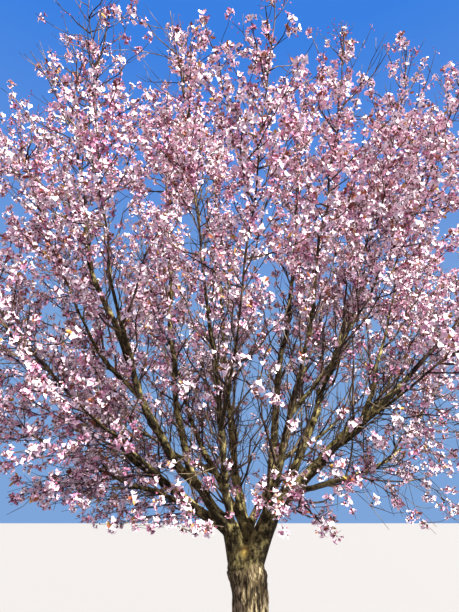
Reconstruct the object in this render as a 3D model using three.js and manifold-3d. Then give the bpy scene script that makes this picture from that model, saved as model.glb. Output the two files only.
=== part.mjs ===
// A pink flowering cherry in full blossom, in millimetres, +Z up.
// The origin is the middle of the flat cut under the trunk, on the ground.
// -Y is the front, the side that faces the viewer.
import * as THREE from 'three';
import { mergeVertices } from 'three/addons/utils/BufferGeometryUtils.js';
import Module from 'manifold-3d';

const wasm = await Module();
wasm.setup();

// The crown is a rounded box: broad, open underneath, and lower on its right the further out.
const CROWN_CENTRE = new THREE.Vector3(0, 300, 3600);
const CROWN_REACH = new THREE.Vector3(3000, 2150, 2150);
const CROWN_SQUARENESS = 2.5;
const CROWN_LEAN = 0.12;
const CROWN_FLOOR = 1390;
const CROWN_FLOOR_SLOPE = 0.08;

// Below the graft the trunk is a rough stock, above it the smoother head of the tree.
const TRUNK_PROFILE = [
  [0, 186], [70, 166], [170, 149], [330, 138], [560, 131], [1000, 127],
  [1170, 128], [1230, 139], [1280, 136], [1330, 124], [1390, 116], [1425, 92],
];
const TRUNK_SIDES = 15;
// The head stands a little to the left of the stock and behind it.
const TRUNK_SHIFT = new THREE.Vector3(-28, 12, 0);
const TRUNK_SHIFT_START = 1120;
const TRUNK_SHIFT_END = 1320;
const ROOT_LOBES = 5;
const ROOT_LOBE_DEPTH = 0.1;
const ROOT_LOBE_HEIGHT = 260;
const ROOT_LOBE_TURN = 0.6;
const FURROWS = 4;
const FURROW_DEPTH = 0.025;
const FURROW_RISE = 400;
// Towards the fork the trunk grows wider from side to side and half as much thinner in depth.
const HEAD_WIDENING = 0.1;
const HEAD_START = 1300;
const HEAD_RUN = 150;

// Pieces that touch in life stand this far apart.
const TOUCH_GAP = 0.3;
const WELD_DISTANCE = 1e-4;
const LIMB_SIDES = 6;
const LIMB_RINGS = 6;
const HEAD_STEM_SIDES = 9;
const HEAD_STEM_RINGS = 2;
const HEAD_STEM_ARCH = 6;
const LIMB_WANDER = 11;
const LIMB_TIP_SHARE = 0.42;
const COLLAR_SHARE = 0.28;
const COLLAR_REACH = 90;

const TWIG_SIDES = 3;
const STEM_RINGS = 3;
const STEM_LIFT = new THREE.Vector3(0, 0, 0.0095);
const SPINE_STRIDE = 60;
const LEAST_STRETCH = 0.9;
const STRETCH_RANGE = 0.35;
const STEM_LEAST_RADIUS = 13;
const STEM_END_RADIUS = 11;
const SHOOT_RADIUS = 5;
const SIDE_RADIUS = 2.4;
const SHOOTS_PER_MASS = 10;
const SHOOTS_PER_FORK_SPRAY = 5;
const SHOOT_START = 0.12;
const SHOOT_END = 0.92;
const SHOOT_LONGEST = 900;
const SHOOT_SHORTEST = 200;
const SHOOT_SHORTEN = 0.82;
const SHOOT_WANE = 0.45;
const SHOOT_LEAN = 66;
const SHOOT_LEAN_DROP = 26;
const LEAN_PLAY = 12;
const TURN_PLAY = 40;
const GOLDEN_ANGLE = 137.5;
const SIDE_JOINT = 0.42;
const SIDE_SHARE = 0.62;
const SIDE_EXTRA = 120;
const SIDE_SPREAD = 1.1;
const SIDE_PLAY = 70;
const CELL_MARGIN = 45;
const LIMB_MARGIN = 14;
const TWIG_TESTS = [0.25, 0.5, 0.75];

// Each limb and each mass draws its random numbers from a seed of its own: first + step * index.
const LIMB_SEED = { first: 101, step: 7919 };
const MASS_SEED = { first: 977, step: 4409 };
const FORK_SPRAY_SEED = { first: 311, step: 97 };

// One spray of blossom stands for a cluster of some fifty flowers.
const SPRAY_SIZE = new THREE.Vector3(360, 300, 96);
const SPRAY_SPACING = 0.95;

const FORK_SPRAYS = [
  { name: 'fork_left', stem: 'left', share: 0.9, azimuth: 228, rise: 4 },
  { name: 'fork_right', stem: 'right', share: 0.86, azimuth: 314, rise: 14 },
];
const FORK_SPRAY_LENGTH = 420;
const FORK_SPRAY_SCALE = 0.42;
const FORK_SHOOT_START = 0.42;

const BARK_COLOUR = 0x6b5a48;
const BOUGH_COLOUR = 0x6f6440;
const PETAL_COLOURS = [0xe9bccb, 0xdfa6bd, 0xf0d0d9, 0xd598b3];
const BARK_ROUGHNESS = 0.9;
const BOUGH_ROUGHNESS = 0.85;
const PETAL_ROUGHNESS = 0.8;

const degrees = THREE.MathUtils.degToRad;
const clamp = THREE.MathUtils.clamp;
const point = (x, y, z) => new THREE.Vector3(x, y, z);
const UP = point(0, 0, 1);

function seededDraws(seed, index) {
  let state = seed.first + seed.step * index;
  return () => {
    state = (state * 16807) % 2147483647;
    return state / 2147483647;
  };
}

function heading(azimuth, rise) {
  const turn = degrees(azimuth);
  const lift = degrees(rise);
  return point(Math.cos(lift) * Math.cos(turn), Math.cos(lift) * Math.sin(turn), Math.sin(lift));
}

function solidFrom(geometry) {
  geometry.deleteAttribute('normal');
  geometry.deleteAttribute('uv');
  const merged = mergeVertices(geometry, WELD_DISTANCE);
  return new wasm.Manifold(new wasm.Mesh({
    numProp: 3,
    vertProperties: new Float32Array(merged.attributes.position.array),
    triVerts: new Uint32Array(merged.index.array),
  }));
}

// The largest piece of a solid, without sealed hollows or loose scraps.
function mainPiece(solid) {
  const pieces = solid.decompose();
  pieces.sort((one, other) => other.volume() - one.volume());
  return pieces[0];
}

// A closed bar bent along a curve, with a radius that depends on the share of its length.
function bentBar(curve, radiusAt, sides, rings, grow) {
  const frames = curve.computeFrenetFrames(rings, false);
  const geometry = new THREE.CylinderGeometry(1, 1, 1, sides, rings);
  const place = geometry.attributes.position;
  for (let i = 0; i < place.count; i += 1) {
    const across = Math.hypot(place.getX(i), place.getZ(i));
    const angle = Math.atan2(place.getZ(i), place.getX(i));
    const ring = Math.round((place.getY(i) + 0.5) * rings);
    const radius = across < 0.5 ? 0 : radiusAt(ring / rings) + grow;
    const spot = curve.getPointAt(ring / rings);
    spot.addScaledVector(frames.normals[ring], radius * Math.cos(angle));
    spot.addScaledVector(frames.binormals[ring], -radius * Math.sin(angle));
    const end = ring === rings ? grow : ring === 0 ? -grow : 0;
    spot.addScaledVector(frames.tangents[ring], end);
    place.setXYZ(i, spot.x, spot.y, spot.z);
  }
  return solidFrom(geometry);
}

function trunkBole(grow) {
  const levels = TRUNK_PROFILE.length - 1;
  const top = TRUNK_PROFILE[levels][0];
  const geometry = new THREE.CylinderGeometry(1, 1, 1, TRUNK_SIDES, levels);
  const place = geometry.attributes.position;
  for (let i = 0; i < place.count; i += 1) {
    const across = Math.min(1, Math.hypot(place.getX(i), place.getZ(i)));
    const angle = Math.atan2(-place.getZ(i), place.getX(i));
    const [height, profileRadius] = TRUNK_PROFILE[Math.round((place.getY(i) + 0.5) * levels)];
    const foot = Math.exp(-height / ROOT_LOBE_HEIGHT);
    const lobes = ROOT_LOBE_DEPTH * foot * Math.cos(ROOT_LOBES * angle + ROOT_LOBE_TURN);
    const furrows = FURROW_DEPTH * Math.cos(FURROWS * angle + height / FURROW_RISE);
    const widening = HEAD_WIDENING * clamp((height - HEAD_START) / HEAD_RUN, 0, 1);
    const radius = across * (profileRadius * (1 + lobes + furrows) + grow);
    const shifted = THREE.MathUtils.smoothstep(height, TRUNK_SHIFT_START, TRUNK_SHIFT_END);
    place.setXYZ(
      i,
      TRUNK_SHIFT.x * shifted + radius * (1 + widening) * Math.cos(angle),
      TRUNK_SHIFT.y * shifted + radius * (1 - widening / 2) * Math.sin(angle),
      height + (height === top ? grow : 0),
    );
  }
  return solidFrom(geometry);
}

// Three short stems that the head of the trunk divides into, fused to it.
const stems = {
  left: { from: point(-66, 4, 1300), to: point(-142, -12, 1570), base: 86, tip: 56 },
  right: { from: point(8, 6, 1300), to: point(176, 0, 1655), base: 88, tip: 64 },
  back: { from: point(-20, 40, 1300), to: point(-8, 122, 1560), base: 72, tip: 46 },
};
for (const stem of Object.values(stems)) {
  const middle = stem.from.clone().lerp(stem.to, 0.5).add(point(0, 0, HEAD_STEM_ARCH));
  stem.curve = new THREE.CatmullRomCurve3([stem.from, middle, stem.to]);
  stem.radiusAt = (share) => stem.base + (stem.tip - stem.base) * share;
}

function trunkSolid(grow) {
  const pieces = [trunkBole(grow)];
  for (const stem of Object.values(stems)) {
    pieces.push(bentBar(stem.curve, stem.radiusAt, HEAD_STEM_SIDES, HEAD_STEM_RINGS, grow));
  }
  return wasm.Manifold.union(pieces);
}

const limbs = [];
const limbNamed = (name) => stems[name] ?? limbs.find((limb) => limb.name === name);

// A bough leaves its parent at a share of the parent's length. Its heading turns by sweep and
// rises by curl from base to tip, in degrees, and wanders a little by its own seed.
function bough(name, parent, at, azimuth, sweep, rise, curl, length, base) {
  const draw = seededDraws(LIMB_SEED, limbs.length);
  const path = [limbNamed(parent).curve.getPointAt(at)];
  for (let step = 0; step < LIMB_RINGS; step += 1) {
    const share = (step + 0.5) / LIMB_RINGS;
    const turn = azimuth + sweep * share + LIMB_WANDER * 2 * (draw() - 0.5);
    const lift = rise + curl * share + LIMB_WANDER * (draw() - 0.5);
    path.push(path[step].clone().addScaledVector(heading(turn, lift), length / LIMB_RINGS));
  }
  const curve = new THREE.CatmullRomCurve3(path);
  const tip = base * LIMB_TIP_SHARE;
  const radiusAt = (share) => {
    const collar = COLLAR_SHARE * base * Math.exp((-share * length) / COLLAR_REACH);
    return tip + (base - tip) * (1 - share) + collar;
  };
  limbs.push({ name, curve, radiusAt, path, base, tip });
}

// Left boughs.
bough('left_main', 'left', 0.78, 184, -8, 34, 10, 1620, 38);
bough('left_low', 'left_main', 0.16, 192, -12, 18, 6, 1060, 22);
bough('left_leader', 'left', 0.94, 206, 4, 42, 34, 2650, 36);
bough('left_inner', 'left_leader', 0.15, 172, -10, 74, 14, 1900, 28);
bough('front_left', 'left', 0.8, 256, -12, 60, 14, 1750, 28);
// Right boughs.
bough('right_main', 'right', 0.9, 352, 4, 44, -6, 1500, 50);
bough('right_upper', 'right', 0.86, 12, 6, 60, 14, 2150, 36);
bough('centre_right', 'right', 0.7, 336, 12, 78, 8, 2350, 34);
bough('front_right', 'right', 0.6, 296, 10, 58, 14, 1750, 29);
// Back boughs.
bough('centre_left', 'back', 0.72, 128, -10, 76, 4, 2250, 30);
bough('back_left', 'back', 0.8, 138, -8, 48, 14, 1850, 30);
bough('back_right', 'back', 0.8, 44, 10, 50, 12, 1900, 31);
bough('back_middle', 'back', 0.9, 92, 0, 42, 16, 1600, 27);
// Side boughs.
bough('left_front', 'left_main', 0.34, 226, -6, 26, 8, 900, 20);
bough('left_back', 'left_main', 0.45, 150, -8, 44, 12, 1000, 20);
bough('left_leader_outer', 'left_leader', 0.42, 178, -8, 44, 18, 950, 20);
bough('left_leader_front', 'left_leader', 0.5, 252, -6, 48, 16, 850, 20);
bough('right_low', 'right_main', 0.16, 30, 6, 12, 18, 1400, 23);
bough('right_front', 'right_main', 0.34, 318, 6, 28, 8, 900, 21);
bough('right_top', 'right_main', 0.66, 12, -10, 66, 8, 950, 22);
bough('right_back', 'right_main', 0.56, 42, 0, 34, 10, 950, 21);
bough('right_upper_front', 'right_upper', 0.45, 306, 6, 46, 18, 950, 20);
bough('right_upper_back', 'right_upper', 0.5, 76, 4, 44, 18, 1000, 20);
bough('back_left_low', 'back_left', 0.3, 158, -6, 22, 10, 1150, 20);
bough('back_right_low', 'back_right', 0.34, 22, 4, 24, 14, 1150, 20);
bough('back_low', 'back_middle', 0.34, 108, -6, 24, 10, 1100, 19);
bough('front_left_side', 'front_left', 0.42, 278, 4, 44, 14, 800, 18);
bough('front_right_side', 'front_right', 0.5, 340, 6, 42, 16, 800, 18);

const limbSolid = (limb, grow) => bentBar(limb.curve, limb.radiusAt, LIMB_SIDES, LIMB_RINGS, grow);

const tree = new THREE.Group();

function addNode(name, solid, colour, roughness) {
  const { numProp, vertProperties, triVerts } = solid.getMesh();
  const geometry = new THREE.BufferGeometry();
  geometry.setAttribute('position', new THREE.BufferAttribute(vertProperties, numProp));
  geometry.setIndex(new THREE.BufferAttribute(triVerts, 1));
  geometry.computeVertexNormals();
  const material = new THREE.MeshStandardMaterial({ color: colour, roughness, metalness: 0 });
  const mesh = new THREE.Mesh(geometry, material);
  mesh.name = name;
  tree.add(mesh);
}

addNode('trunk', mainPiece(trunkSolid(0)), BARK_COLOUR, BARK_ROUGHNESS);
const taken = [trunkSolid(TOUCH_GAP)];
for (const limb of limbs) {
  const cut = wasm.Manifold.union(taken);
  const solid = mainPiece(limbSolid(limb, 0).subtract(cut));
  addNode(`bough_${limb.name}`, solid, BOUGH_COLOUR, BOUGH_ROUGHNESS);
  taken.push(limbSolid(limb, TOUCH_GAP));
}

function inCrown(spot, stretch) {
  const upright = point(spot.x, spot.y, spot.z + CROWN_LEAN * spot.x);
  const away = upright.sub(CROWN_CENTRE).divide(CROWN_REACH);
  const fill = Math.abs(away.x) ** CROWN_SQUARENESS
    + Math.abs(away.y) ** CROWN_SQUARENESS
    + Math.abs(away.z) ** CROWN_SQUARENESS;
  const floor = CROWN_FLOOR + CROWN_FLOOR_SLOPE * Math.hypot(spot.x, spot.y);
  return fill <= stretch && spot.z > floor;
}

const stretchOfPath = new THREE.Line3();
const nearest = new THREE.Vector3();

function distanceToPath(spot, path) {
  let least = Infinity;
  for (let i = 1; i < path.length; i += 1) {
    stretchOfPath.set(path[i - 1], path[i]);
    stretchOfPath.closestPointToPoint(spot, true, nearest);
    least = Math.min(least, nearest.distanceTo(spot));
  }
  return least;
}

function clearOfLimbs(spot, room) {
  return limbs.every((limb) => distanceToPath(spot, limb.path) > room + limb.base);
}

// The stem of a mass goes on from its bough's tip to the outside of the crown, lifting a little.
function spineOf(start, direction, stretch) {
  const way = direction.clone();
  const spine = [start];
  let end = start;
  while (inCrown(end, stretch)) {
    way.add(STEM_LIFT).normalize();
    end = end.clone().addScaledVector(way, SPINE_STRIDE);
    spine.push(end);
  }
  const knots = Array.from({ length: STEM_RINGS + 1 }, (_, knot) => knot / STEM_RINGS);
  return knots.map((share) => spine[Math.round(share * (spine.length - 1))]);
}

const masses = limbs.map((limb, index) => {
  const draw = seededDraws(MASS_SEED, index);
  const direction = limb.curve.getTangentAt(1);
  const start = limb.curve.getPointAt(1).addScaledVector(direction, TOUCH_GAP);
  const stretch = LEAST_STRETCH + STRETCH_RANGE * draw();
  const path = spineOf(start, direction, stretch);
  const base = Math.max(limb.tip, STEM_LEAST_RADIUS);
  return { name: limb.name, draw, stretch, path, base, end: STEM_END_RADIUS, scale: 1, limb };
});

// Two small sprays stand on the head of the trunk, under the boughs.
FORK_SPRAYS.forEach(({ name, stem, share, azimuth, rise }, index) => {
  const draw = seededDraws(FORK_SPRAY_SEED, index);
  const start = stems[stem].curve.getPointAt(share);
  const reach = [0, 0.5, 1].map((part) => part * FORK_SPRAY_LENGTH);
  const path = reach.map((far) => start.clone().addScaledVector(heading(azimuth, rise), far));
  const scale = FORK_SPRAY_SCALE;
  const base = STEM_LEAST_RADIUS * scale;
  const end = STEM_END_RADIUS * scale;
  masses.push({ name, draw, stretch: 1, path, base, end, scale, limb: null });
});

// Every twig and spray that is already placed, as a path with the room kept round it.
const placed = [];

// True where a mass may fill a ball round a spot: inside the crown, off every limb, nearer to its
// own stem than to any other and off what the other masses already hold.
function allowed(mass, spot, room) {
  if (!inCrown(spot, mass.stretch) || !clearOfLimbs(spot, room)) return false;
  const own = distanceToPath(spot, mass.path) + CELL_MARGIN;
  const others = masses.filter((other) => other !== mass);
  const foreign = placed.filter((held) => held.mass !== mass);
  return others.every((other) => distanceToPath(spot, other.path) > Math.max(own, room + other.base))
    && foreign.every((held) => distanceToPath(spot, held.path) > room + held.room);
}

function twigSolid(from, to, radius) {
  return bentBar(new THREE.LineCurve3(from, to), () => radius, TWIG_SIDES, 1, 0);
}

// Turns a spray so that its twig enters through the middle of a face.
const FACE_ON_TWIG = new THREE.Quaternion()
  .setFromUnitVectors(SPRAY_SIZE.clone().normalize(), point(1, 0, 0));

// A flat eight-faced spray of blossom round the end of a twig.
function spraySolid(centre, along, facing, scale) {
  const geometry = new THREE.OctahedronGeometry(0.5, 0);
  const side = point().crossVectors(facing, along).normalize();
  const out = point().crossVectors(along, side).normalize();
  geometry.scale(SPRAY_SIZE.x * scale, SPRAY_SIZE.y * scale, SPRAY_SIZE.z * scale);
  geometry.applyQuaternion(FACE_ON_TWIG);
  geometry.applyMatrix4(new THREE.Matrix4().makeBasis(along, side, out));
  geometry.translate(centre.x, centre.y, centre.z);
  return solidFrom(geometry);
}

function growMass(mass) {
  const { draw, scale } = mass;
  const curve = new THREE.CatmullRomCurve3(mass.path);
  const radiusAt = (share) => mass.base + (mass.end - mass.base) * share;
  const pieces = [bentBar(curve, radiusAt, TWIG_SIDES, STEM_RINGS, 0)];
  const blooms = [];
  const sprayRoom = (SPRAY_SIZE.x * scale) / 2;
  const spacing = SPRAY_SPACING * SPRAY_SIZE.x * scale;

  function addSpray(spot, along) {
    const facing = spot.clone().sub(CROWN_CENTRE).normalize();
    facing.add(point(draw() - 0.5, draw() - 0.5, draw() - 0.5)).normalize();
    pieces.push(spraySolid(spot, along, facing, scale));
    blooms.push(spot);
    placed.push({ mass, path: [spot, spot], room: sprayRoom });
  }

  function fits(from, tip) {
    const crowded = blooms.some((bloom) => bloom.distanceTo(tip) < spacing);
    if (crowded || !allowed(mass, tip, sprayRoom)) return false;
    return TWIG_TESTS.every((share) => allowed(mass, from.clone().lerp(tip, share), LIMB_MARGIN));
  }

  // The longest twig that stays in the mass's own space, with a spray on its tip, or none.
  function addTwig(from, direction, longest, radius) {
    for (let reach = longest; reach > SHOOT_SHORTEST * scale; reach *= SHOOT_SHORTEN) {
      const tip = from.clone().addScaledVector(direction, reach);
      if (fits(from, tip)) {
        pieces.push(twigSolid(from, tip, radius * Math.sqrt(scale)));
        placed.push({ mass, path: [from, tip], room: LIMB_MARGIN });
        addSpray(tip, direction);
        return tip;
      }
    }
    return null;
  }

  const first = mass.limb ? SHOOT_START : FORK_SHOOT_START;
  const shoots = mass.limb ? SHOOTS_PER_MASS : SHOOTS_PER_FORK_SPRAY;
  for (let shoot = 0; shoot < shoots; shoot += 1) {
    const share = first + ((SHOOT_END - first) * shoot) / (shoots - 1);
    const from = curve.getPointAt(share);
    const ahead = curve.getTangentAt(share);
    const around = point().crossVectors(ahead, UP).normalize();
    around.applyAxisAngle(ahead, degrees(GOLDEN_ANGLE * shoot + TURN_PLAY * draw()));
    const lean = degrees(SHOOT_LEAN - SHOOT_LEAN_DROP * share + LEAN_PLAY * (draw() - 0.5));
    const direction = ahead.clone().multiplyScalar(Math.cos(lean));
    direction.addScaledVector(around, Math.sin(lean));
    const longest = SHOOT_LONGEST * scale * (1 - SHOOT_WANE * share);
    const tip = addTwig(from, direction, longest, SHOOT_RADIUS);
    if (!tip) continue;
    const joint = from.clone().lerp(tip, SIDE_JOINT);
    const away = point().crossVectors(direction, UP).normalize();
    away.applyAxisAngle(direction, Math.PI * shoot + degrees(SIDE_PLAY * (draw() - 0.5)));
    const slant = direction.clone().addScaledVector(away, SIDE_SPREAD).normalize();
    addTwig(joint, slant, SIDE_SHARE * from.distanceTo(tip) + SIDE_EXTRA * scale, SIDE_RADIUS);
  }
  addSpray(curve.getPointAt(1), curve.getTangentAt(1));
  const holder = mass.limb ? limbSolid(mass.limb, TOUCH_GAP) : wasm.Manifold.union(taken);
  return mainPiece(wasm.Manifold.union(pieces).subtract(holder));
}

masses.forEach((mass, index) => {
  const colour = PETAL_COLOURS[index % PETAL_COLOURS.length];
  addNode(`blossom_${mass.name}`, growMass(mass), colour, PETAL_ROUGHNESS);
});

export default tree;
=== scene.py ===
import math
from functools import cache

import bpy
import numpy as np
from bpy.props import FloatProperty, FloatVectorProperty, PointerProperty
from bpy.types import Operator, Panel, PropertyGroup
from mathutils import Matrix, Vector, kdtree, noise


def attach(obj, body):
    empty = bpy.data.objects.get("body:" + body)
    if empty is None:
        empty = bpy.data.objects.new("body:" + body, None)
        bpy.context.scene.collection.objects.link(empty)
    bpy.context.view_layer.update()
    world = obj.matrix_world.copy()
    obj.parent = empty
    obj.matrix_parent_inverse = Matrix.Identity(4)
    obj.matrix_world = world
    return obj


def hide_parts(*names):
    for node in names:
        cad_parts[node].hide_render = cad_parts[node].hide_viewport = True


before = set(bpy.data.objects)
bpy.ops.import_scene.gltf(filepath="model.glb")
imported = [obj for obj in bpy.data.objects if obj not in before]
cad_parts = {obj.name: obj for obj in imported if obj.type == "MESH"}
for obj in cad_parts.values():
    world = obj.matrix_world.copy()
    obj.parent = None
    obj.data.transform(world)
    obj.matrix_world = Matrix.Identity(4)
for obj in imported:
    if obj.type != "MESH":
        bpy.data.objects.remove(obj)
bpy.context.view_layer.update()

# A pink flowering cherry in full blossom, in metres, +Z up, seen from the -Y side.
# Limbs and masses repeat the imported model's own rule, and are carried on to finer twigs here.
# Lengths and places are in metres, angles in degrees, and shares run from 0 to 1.

bl_info = {
    "name": "Flowering cherry",
    "version": (1, 0, 0),
    "blender": (4, 5, 0),
    "location": "View3D > Sidebar > Cherry",
    "description": "Dresses the packed cherry with bark, twigs, blossom, buds and young leaves",
    "category": "Object",
}

UP = np.array((0.0, 0.0, 1.0))
GOLDEN_ANGLE = math.radians(137.5)

# The crown is a rounded box, open underneath.
CROWN_CENTRE = np.array((0.0, 0.3, 3.6))
CROWN_REACH = np.array((3.0, 2.15, 2.15))
CROWN_SQUARENESS = 2.5
CROWN_LEAN = 0.12
CROWN_FLOOR = 1.39
CROWN_FLOOR_SLOPE = 0.08

# Height and radius of the trunk, which carries a bulge at the graft.
TRUNK_PROFILE = (
    (0.0, 0.186), (0.07, 0.166), (0.17, 0.149), (0.33, 0.138), (0.56, 0.131), (1.0, 0.127),
    (1.17, 0.128), (1.23, 0.139), (1.28, 0.136), (1.33, 0.124), (1.39, 0.116), (1.425, 0.092),
)
TRUNK_SHIFT = np.array((-0.028, 0.012))
TRUNK_SHIFT_START = 1.12
TRUNK_SHIFT_END = 1.32
TRUNK_SIDES = 72
TRUNK_RINGS = 84
ROOT_LOBES = 5
ROOT_LOBE_DEPTH = 0.1
ROOT_LOBE_HEIGHT = 0.26
ROOT_LOBE_TURN = 0.6
FURROWS = 4
FURROW_DEPTH = 0.025
FURROW_RISE = 0.4
HEAD_WIDENING = 0.1
HEAD_START = 1.3
HEAD_RUN = 0.15

# The three short stems of the trunk's head: two ends, two radii.
HEAD_STEMS = {
    "left": ((-0.066, 0.004, 1.3), (-0.142, -0.012, 1.57), 0.086, 0.056),
    "right": ((0.008, 0.006, 1.3), (0.176, 0.0, 1.655), 0.088, 0.064),
    "back": ((-0.02, 0.04, 1.3), (-0.008, 0.122, 1.56), 0.072, 0.046),
}
HEAD_STEM_ARCH = 0.006

LIMB_STEPS = 6
LIMB_WANDER = 11
LIMB_TIP_SHARE = 0.42
COLLAR_SHARE = 0.28
COLLAR_REACH = 0.09

# Name, parent, share of the parent's length, azimuth, sweep, rise, curl, length and base radius.
BOUGHS = (
    ("left_main", "left", 0.78, 184, -8, 34, 10, 1.62, 0.038),
    ("left_low", "left_main", 0.16, 192, -12, 18, 6, 1.06, 0.022),
    ("left_leader", "left", 0.94, 206, 4, 42, 34, 2.65, 0.036),
    ("left_inner", "left_leader", 0.15, 172, -10, 74, 14, 1.9, 0.028),
    ("front_left", "left", 0.8, 256, -12, 60, 14, 1.75, 0.028),
    ("right_main", "right", 0.9, 352, 4, 44, -6, 1.5, 0.050),
    ("right_upper", "right", 0.86, 12, 6, 60, 14, 2.15, 0.036),
    ("centre_right", "right", 0.7, 336, 12, 78, 8, 2.35, 0.034),
    ("front_right", "right", 0.6, 296, 10, 58, 14, 1.75, 0.029),
    ("centre_left", "back", 0.72, 128, -10, 76, 4, 2.25, 0.030),
    ("back_left", "back", 0.8, 138, -8, 48, 14, 1.85, 0.030),
    ("back_right", "back", 0.8, 44, 10, 50, 12, 1.9, 0.031),
    ("back_middle", "back", 0.9, 92, 0, 42, 16, 1.6, 0.027),
    ("left_front", "left_main", 0.34, 226, -6, 26, 8, 0.9, 0.020),
    ("left_back", "left_main", 0.45, 150, -8, 44, 12, 1.0, 0.020),
    ("left_leader_outer", "left_leader", 0.42, 178, -8, 44, 18, 0.95, 0.020),
    ("left_leader_front", "left_leader", 0.5, 252, -6, 48, 16, 0.85, 0.020),
    ("right_low", "right_main", 0.16, 30, 6, 12, 18, 1.4, 0.023),
    ("right_front", "right_main", 0.34, 318, 6, 28, 8, 0.9, 0.021),
    ("right_top", "right_main", 0.66, 12, -10, 66, 8, 0.95, 0.022),
    ("right_back", "right_main", 0.56, 42, 0, 34, 10, 0.95, 0.021),
    ("right_upper_front", "right_upper", 0.45, 306, 6, 46, 18, 0.95, 0.020),
    ("right_upper_back", "right_upper", 0.5, 76, 4, 44, 18, 1.0, 0.020),
    ("back_left_low", "back_left", 0.3, 158, -6, 22, 10, 1.15, 0.020),
    ("back_right_low", "back_right", 0.34, 22, 4, 24, 14, 1.15, 0.020),
    ("back_low", "back_middle", 0.34, 108, -6, 24, 10, 1.1, 0.019),
    ("front_left_side", "front_left", 0.42, 278, 4, 44, 14, 0.8, 0.018),
    ("front_right_side", "front_right", 0.5, 340, 6, 42, 16, 0.8, 0.018),
)

# Stem, share of its length, azimuth and rise of the two small sprays on the trunk's head.
FORK_SPRAYS = {"fork_left": ("left", 0.9, 228, 4), "fork_right": ("right", 0.86, 314, 14)}
FORK_SPRAY_LENGTH = 0.42
FORK_SPRAY_SCALE = 0.42
FORK_SHOOT_START = 0.42

TOUCH_GAP = 0.0003
STEM_KNOTS = 3
STEM_LIFT = 0.0095
SPINE_STRIDE = 0.06
LEAST_STRETCH = 0.9
STRETCH_RANGE = 0.35
STEM_LEAST_RADIUS = 0.013
SHOOTS_PER_MASS = 10
SHOOTS_PER_FORK_SPRAY = 5
SHOOT_START = 0.12
SHOOT_END = 0.92
SHOOT_LONGEST = 0.9
SHOOT_SHORTEST = 0.2
SHOOT_SHORTEN = 0.82
SHOOT_WANE = 0.45
SHOOT_LEAN = 66
SHOOT_LEAN_DROP = 26
LEAN_PLAY = 12
TURN_PLAY = 40
SIDE_JOINT = 0.42
SIDE_SHARE = 0.62
SIDE_EXTRA = 0.12
SIDE_SPREAD = 1.1
SIDE_PLAY = 70
CELL_MARGIN = 0.045
LIMB_MARGIN = 0.014
TWIG_TESTS = (0.25, 0.5, 0.75)
SPRAY_WIDTH = 0.36
SPRAY_SPACING = 0.95
SPRAY_DRAWS = 3
DRAW_FACTOR = 16807
DRAW_RANGE = 2147483647
LIMB_SEED = (101, 7919)
MASS_SEED = (977, 4409)
FORK_SPRAY_SEED = (311, 97)

# Small kinks of the boughs, and the wander and sag of the twigs.
KINK_RATE = 4.5
KINK_SHIFTS = (0.31, 17.53, 41.87)
KINK_APART = 0.73
KINK_SIZE = 0.8
KINK_FADE = 0.22
TWIG_WANDER = 0.02
TWIG_SAG = 0.09
END_HOLD = 6
STEM_WANDER = 0.011
STEM_POINTS = 11
BOUGH_POINTS = 41

# Finer growth, which only this scene has.
FINE_SEED = 20417
FINE_STRETCH = 1.04
FINE_LIMB_MARGIN = 0.015
FINE_SHORTER = (1.0, 0.66, 0.42)
FINE_PLACE_PLAY = (0.15, 0.85)
FINE_TURN_PLAY = 0.35
FINE_LEAN_PLAY = 13
FINE_WANE = 0.35
FINE_THINNEST = 0.6
OWN_BOUGH_KNOTS = slice(3, -1)

# Spacing, first and last share of the parent, lean, shortest and longest length, lift, points on
# each twig, and the radii of its base and tip.
STEM_SHOOTS = (0.066, 0.02, 0.98, 50, 0.3, 1.05, 0.42, 5, 0.0068, 0.002)
LIMB_SHOOTS = (0.085, 0.42, 1.0, 50, 0.25, 0.95, 0.42, 5, 0.0068, 0.002)
BRANCHES = (0.14, 0.06, 0.9, 38, 0.45, 1.3, 0.45, 7, 0.0098, 0.0025)
SPURS = (0.045, 0.02, 0.98, 62, 0.02, 0.1, 0.2, 3, 0.0032, 0.0018)
WATER_SHOOTS = (0.17, 0.02, 0.62, 36, 0.25, 0.85, 0.7, 5, 0.0045, 0.0014)
SPREADING_SHOOTS = (0.15, 0.02, 0.9, 62, 0.5, 1.15, 0.3, 6, 0.0062, 0.0019)
SHOOT_TWIGS = (0.125, 0.1, 0.95, 40, 0.1, 0.32, 0.45, 4, 0.0034, 0.0014)
BRANCH_TWIGS = (0.14, 0.15, 0.95, 42, 0.12, 0.4, 0.3, 4, 0.0034, 0.0014)
FORK_TWIGS = (0.06, 0.25, 0.95, 42, 0.06, 0.14, 0.3, 4, 0.002, 0.001)
RIGHT_TUFTS = (0.036, 0.03, 0.27, 72, 0.08, 0.24, 0.1, 4, 0.0026, 0.0012)
LEFT_TUFTS = (0.1, 0.05, 0.28, 72, 0.08, 0.2, 0.1, 4, 0.0026, 0.0012)

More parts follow.
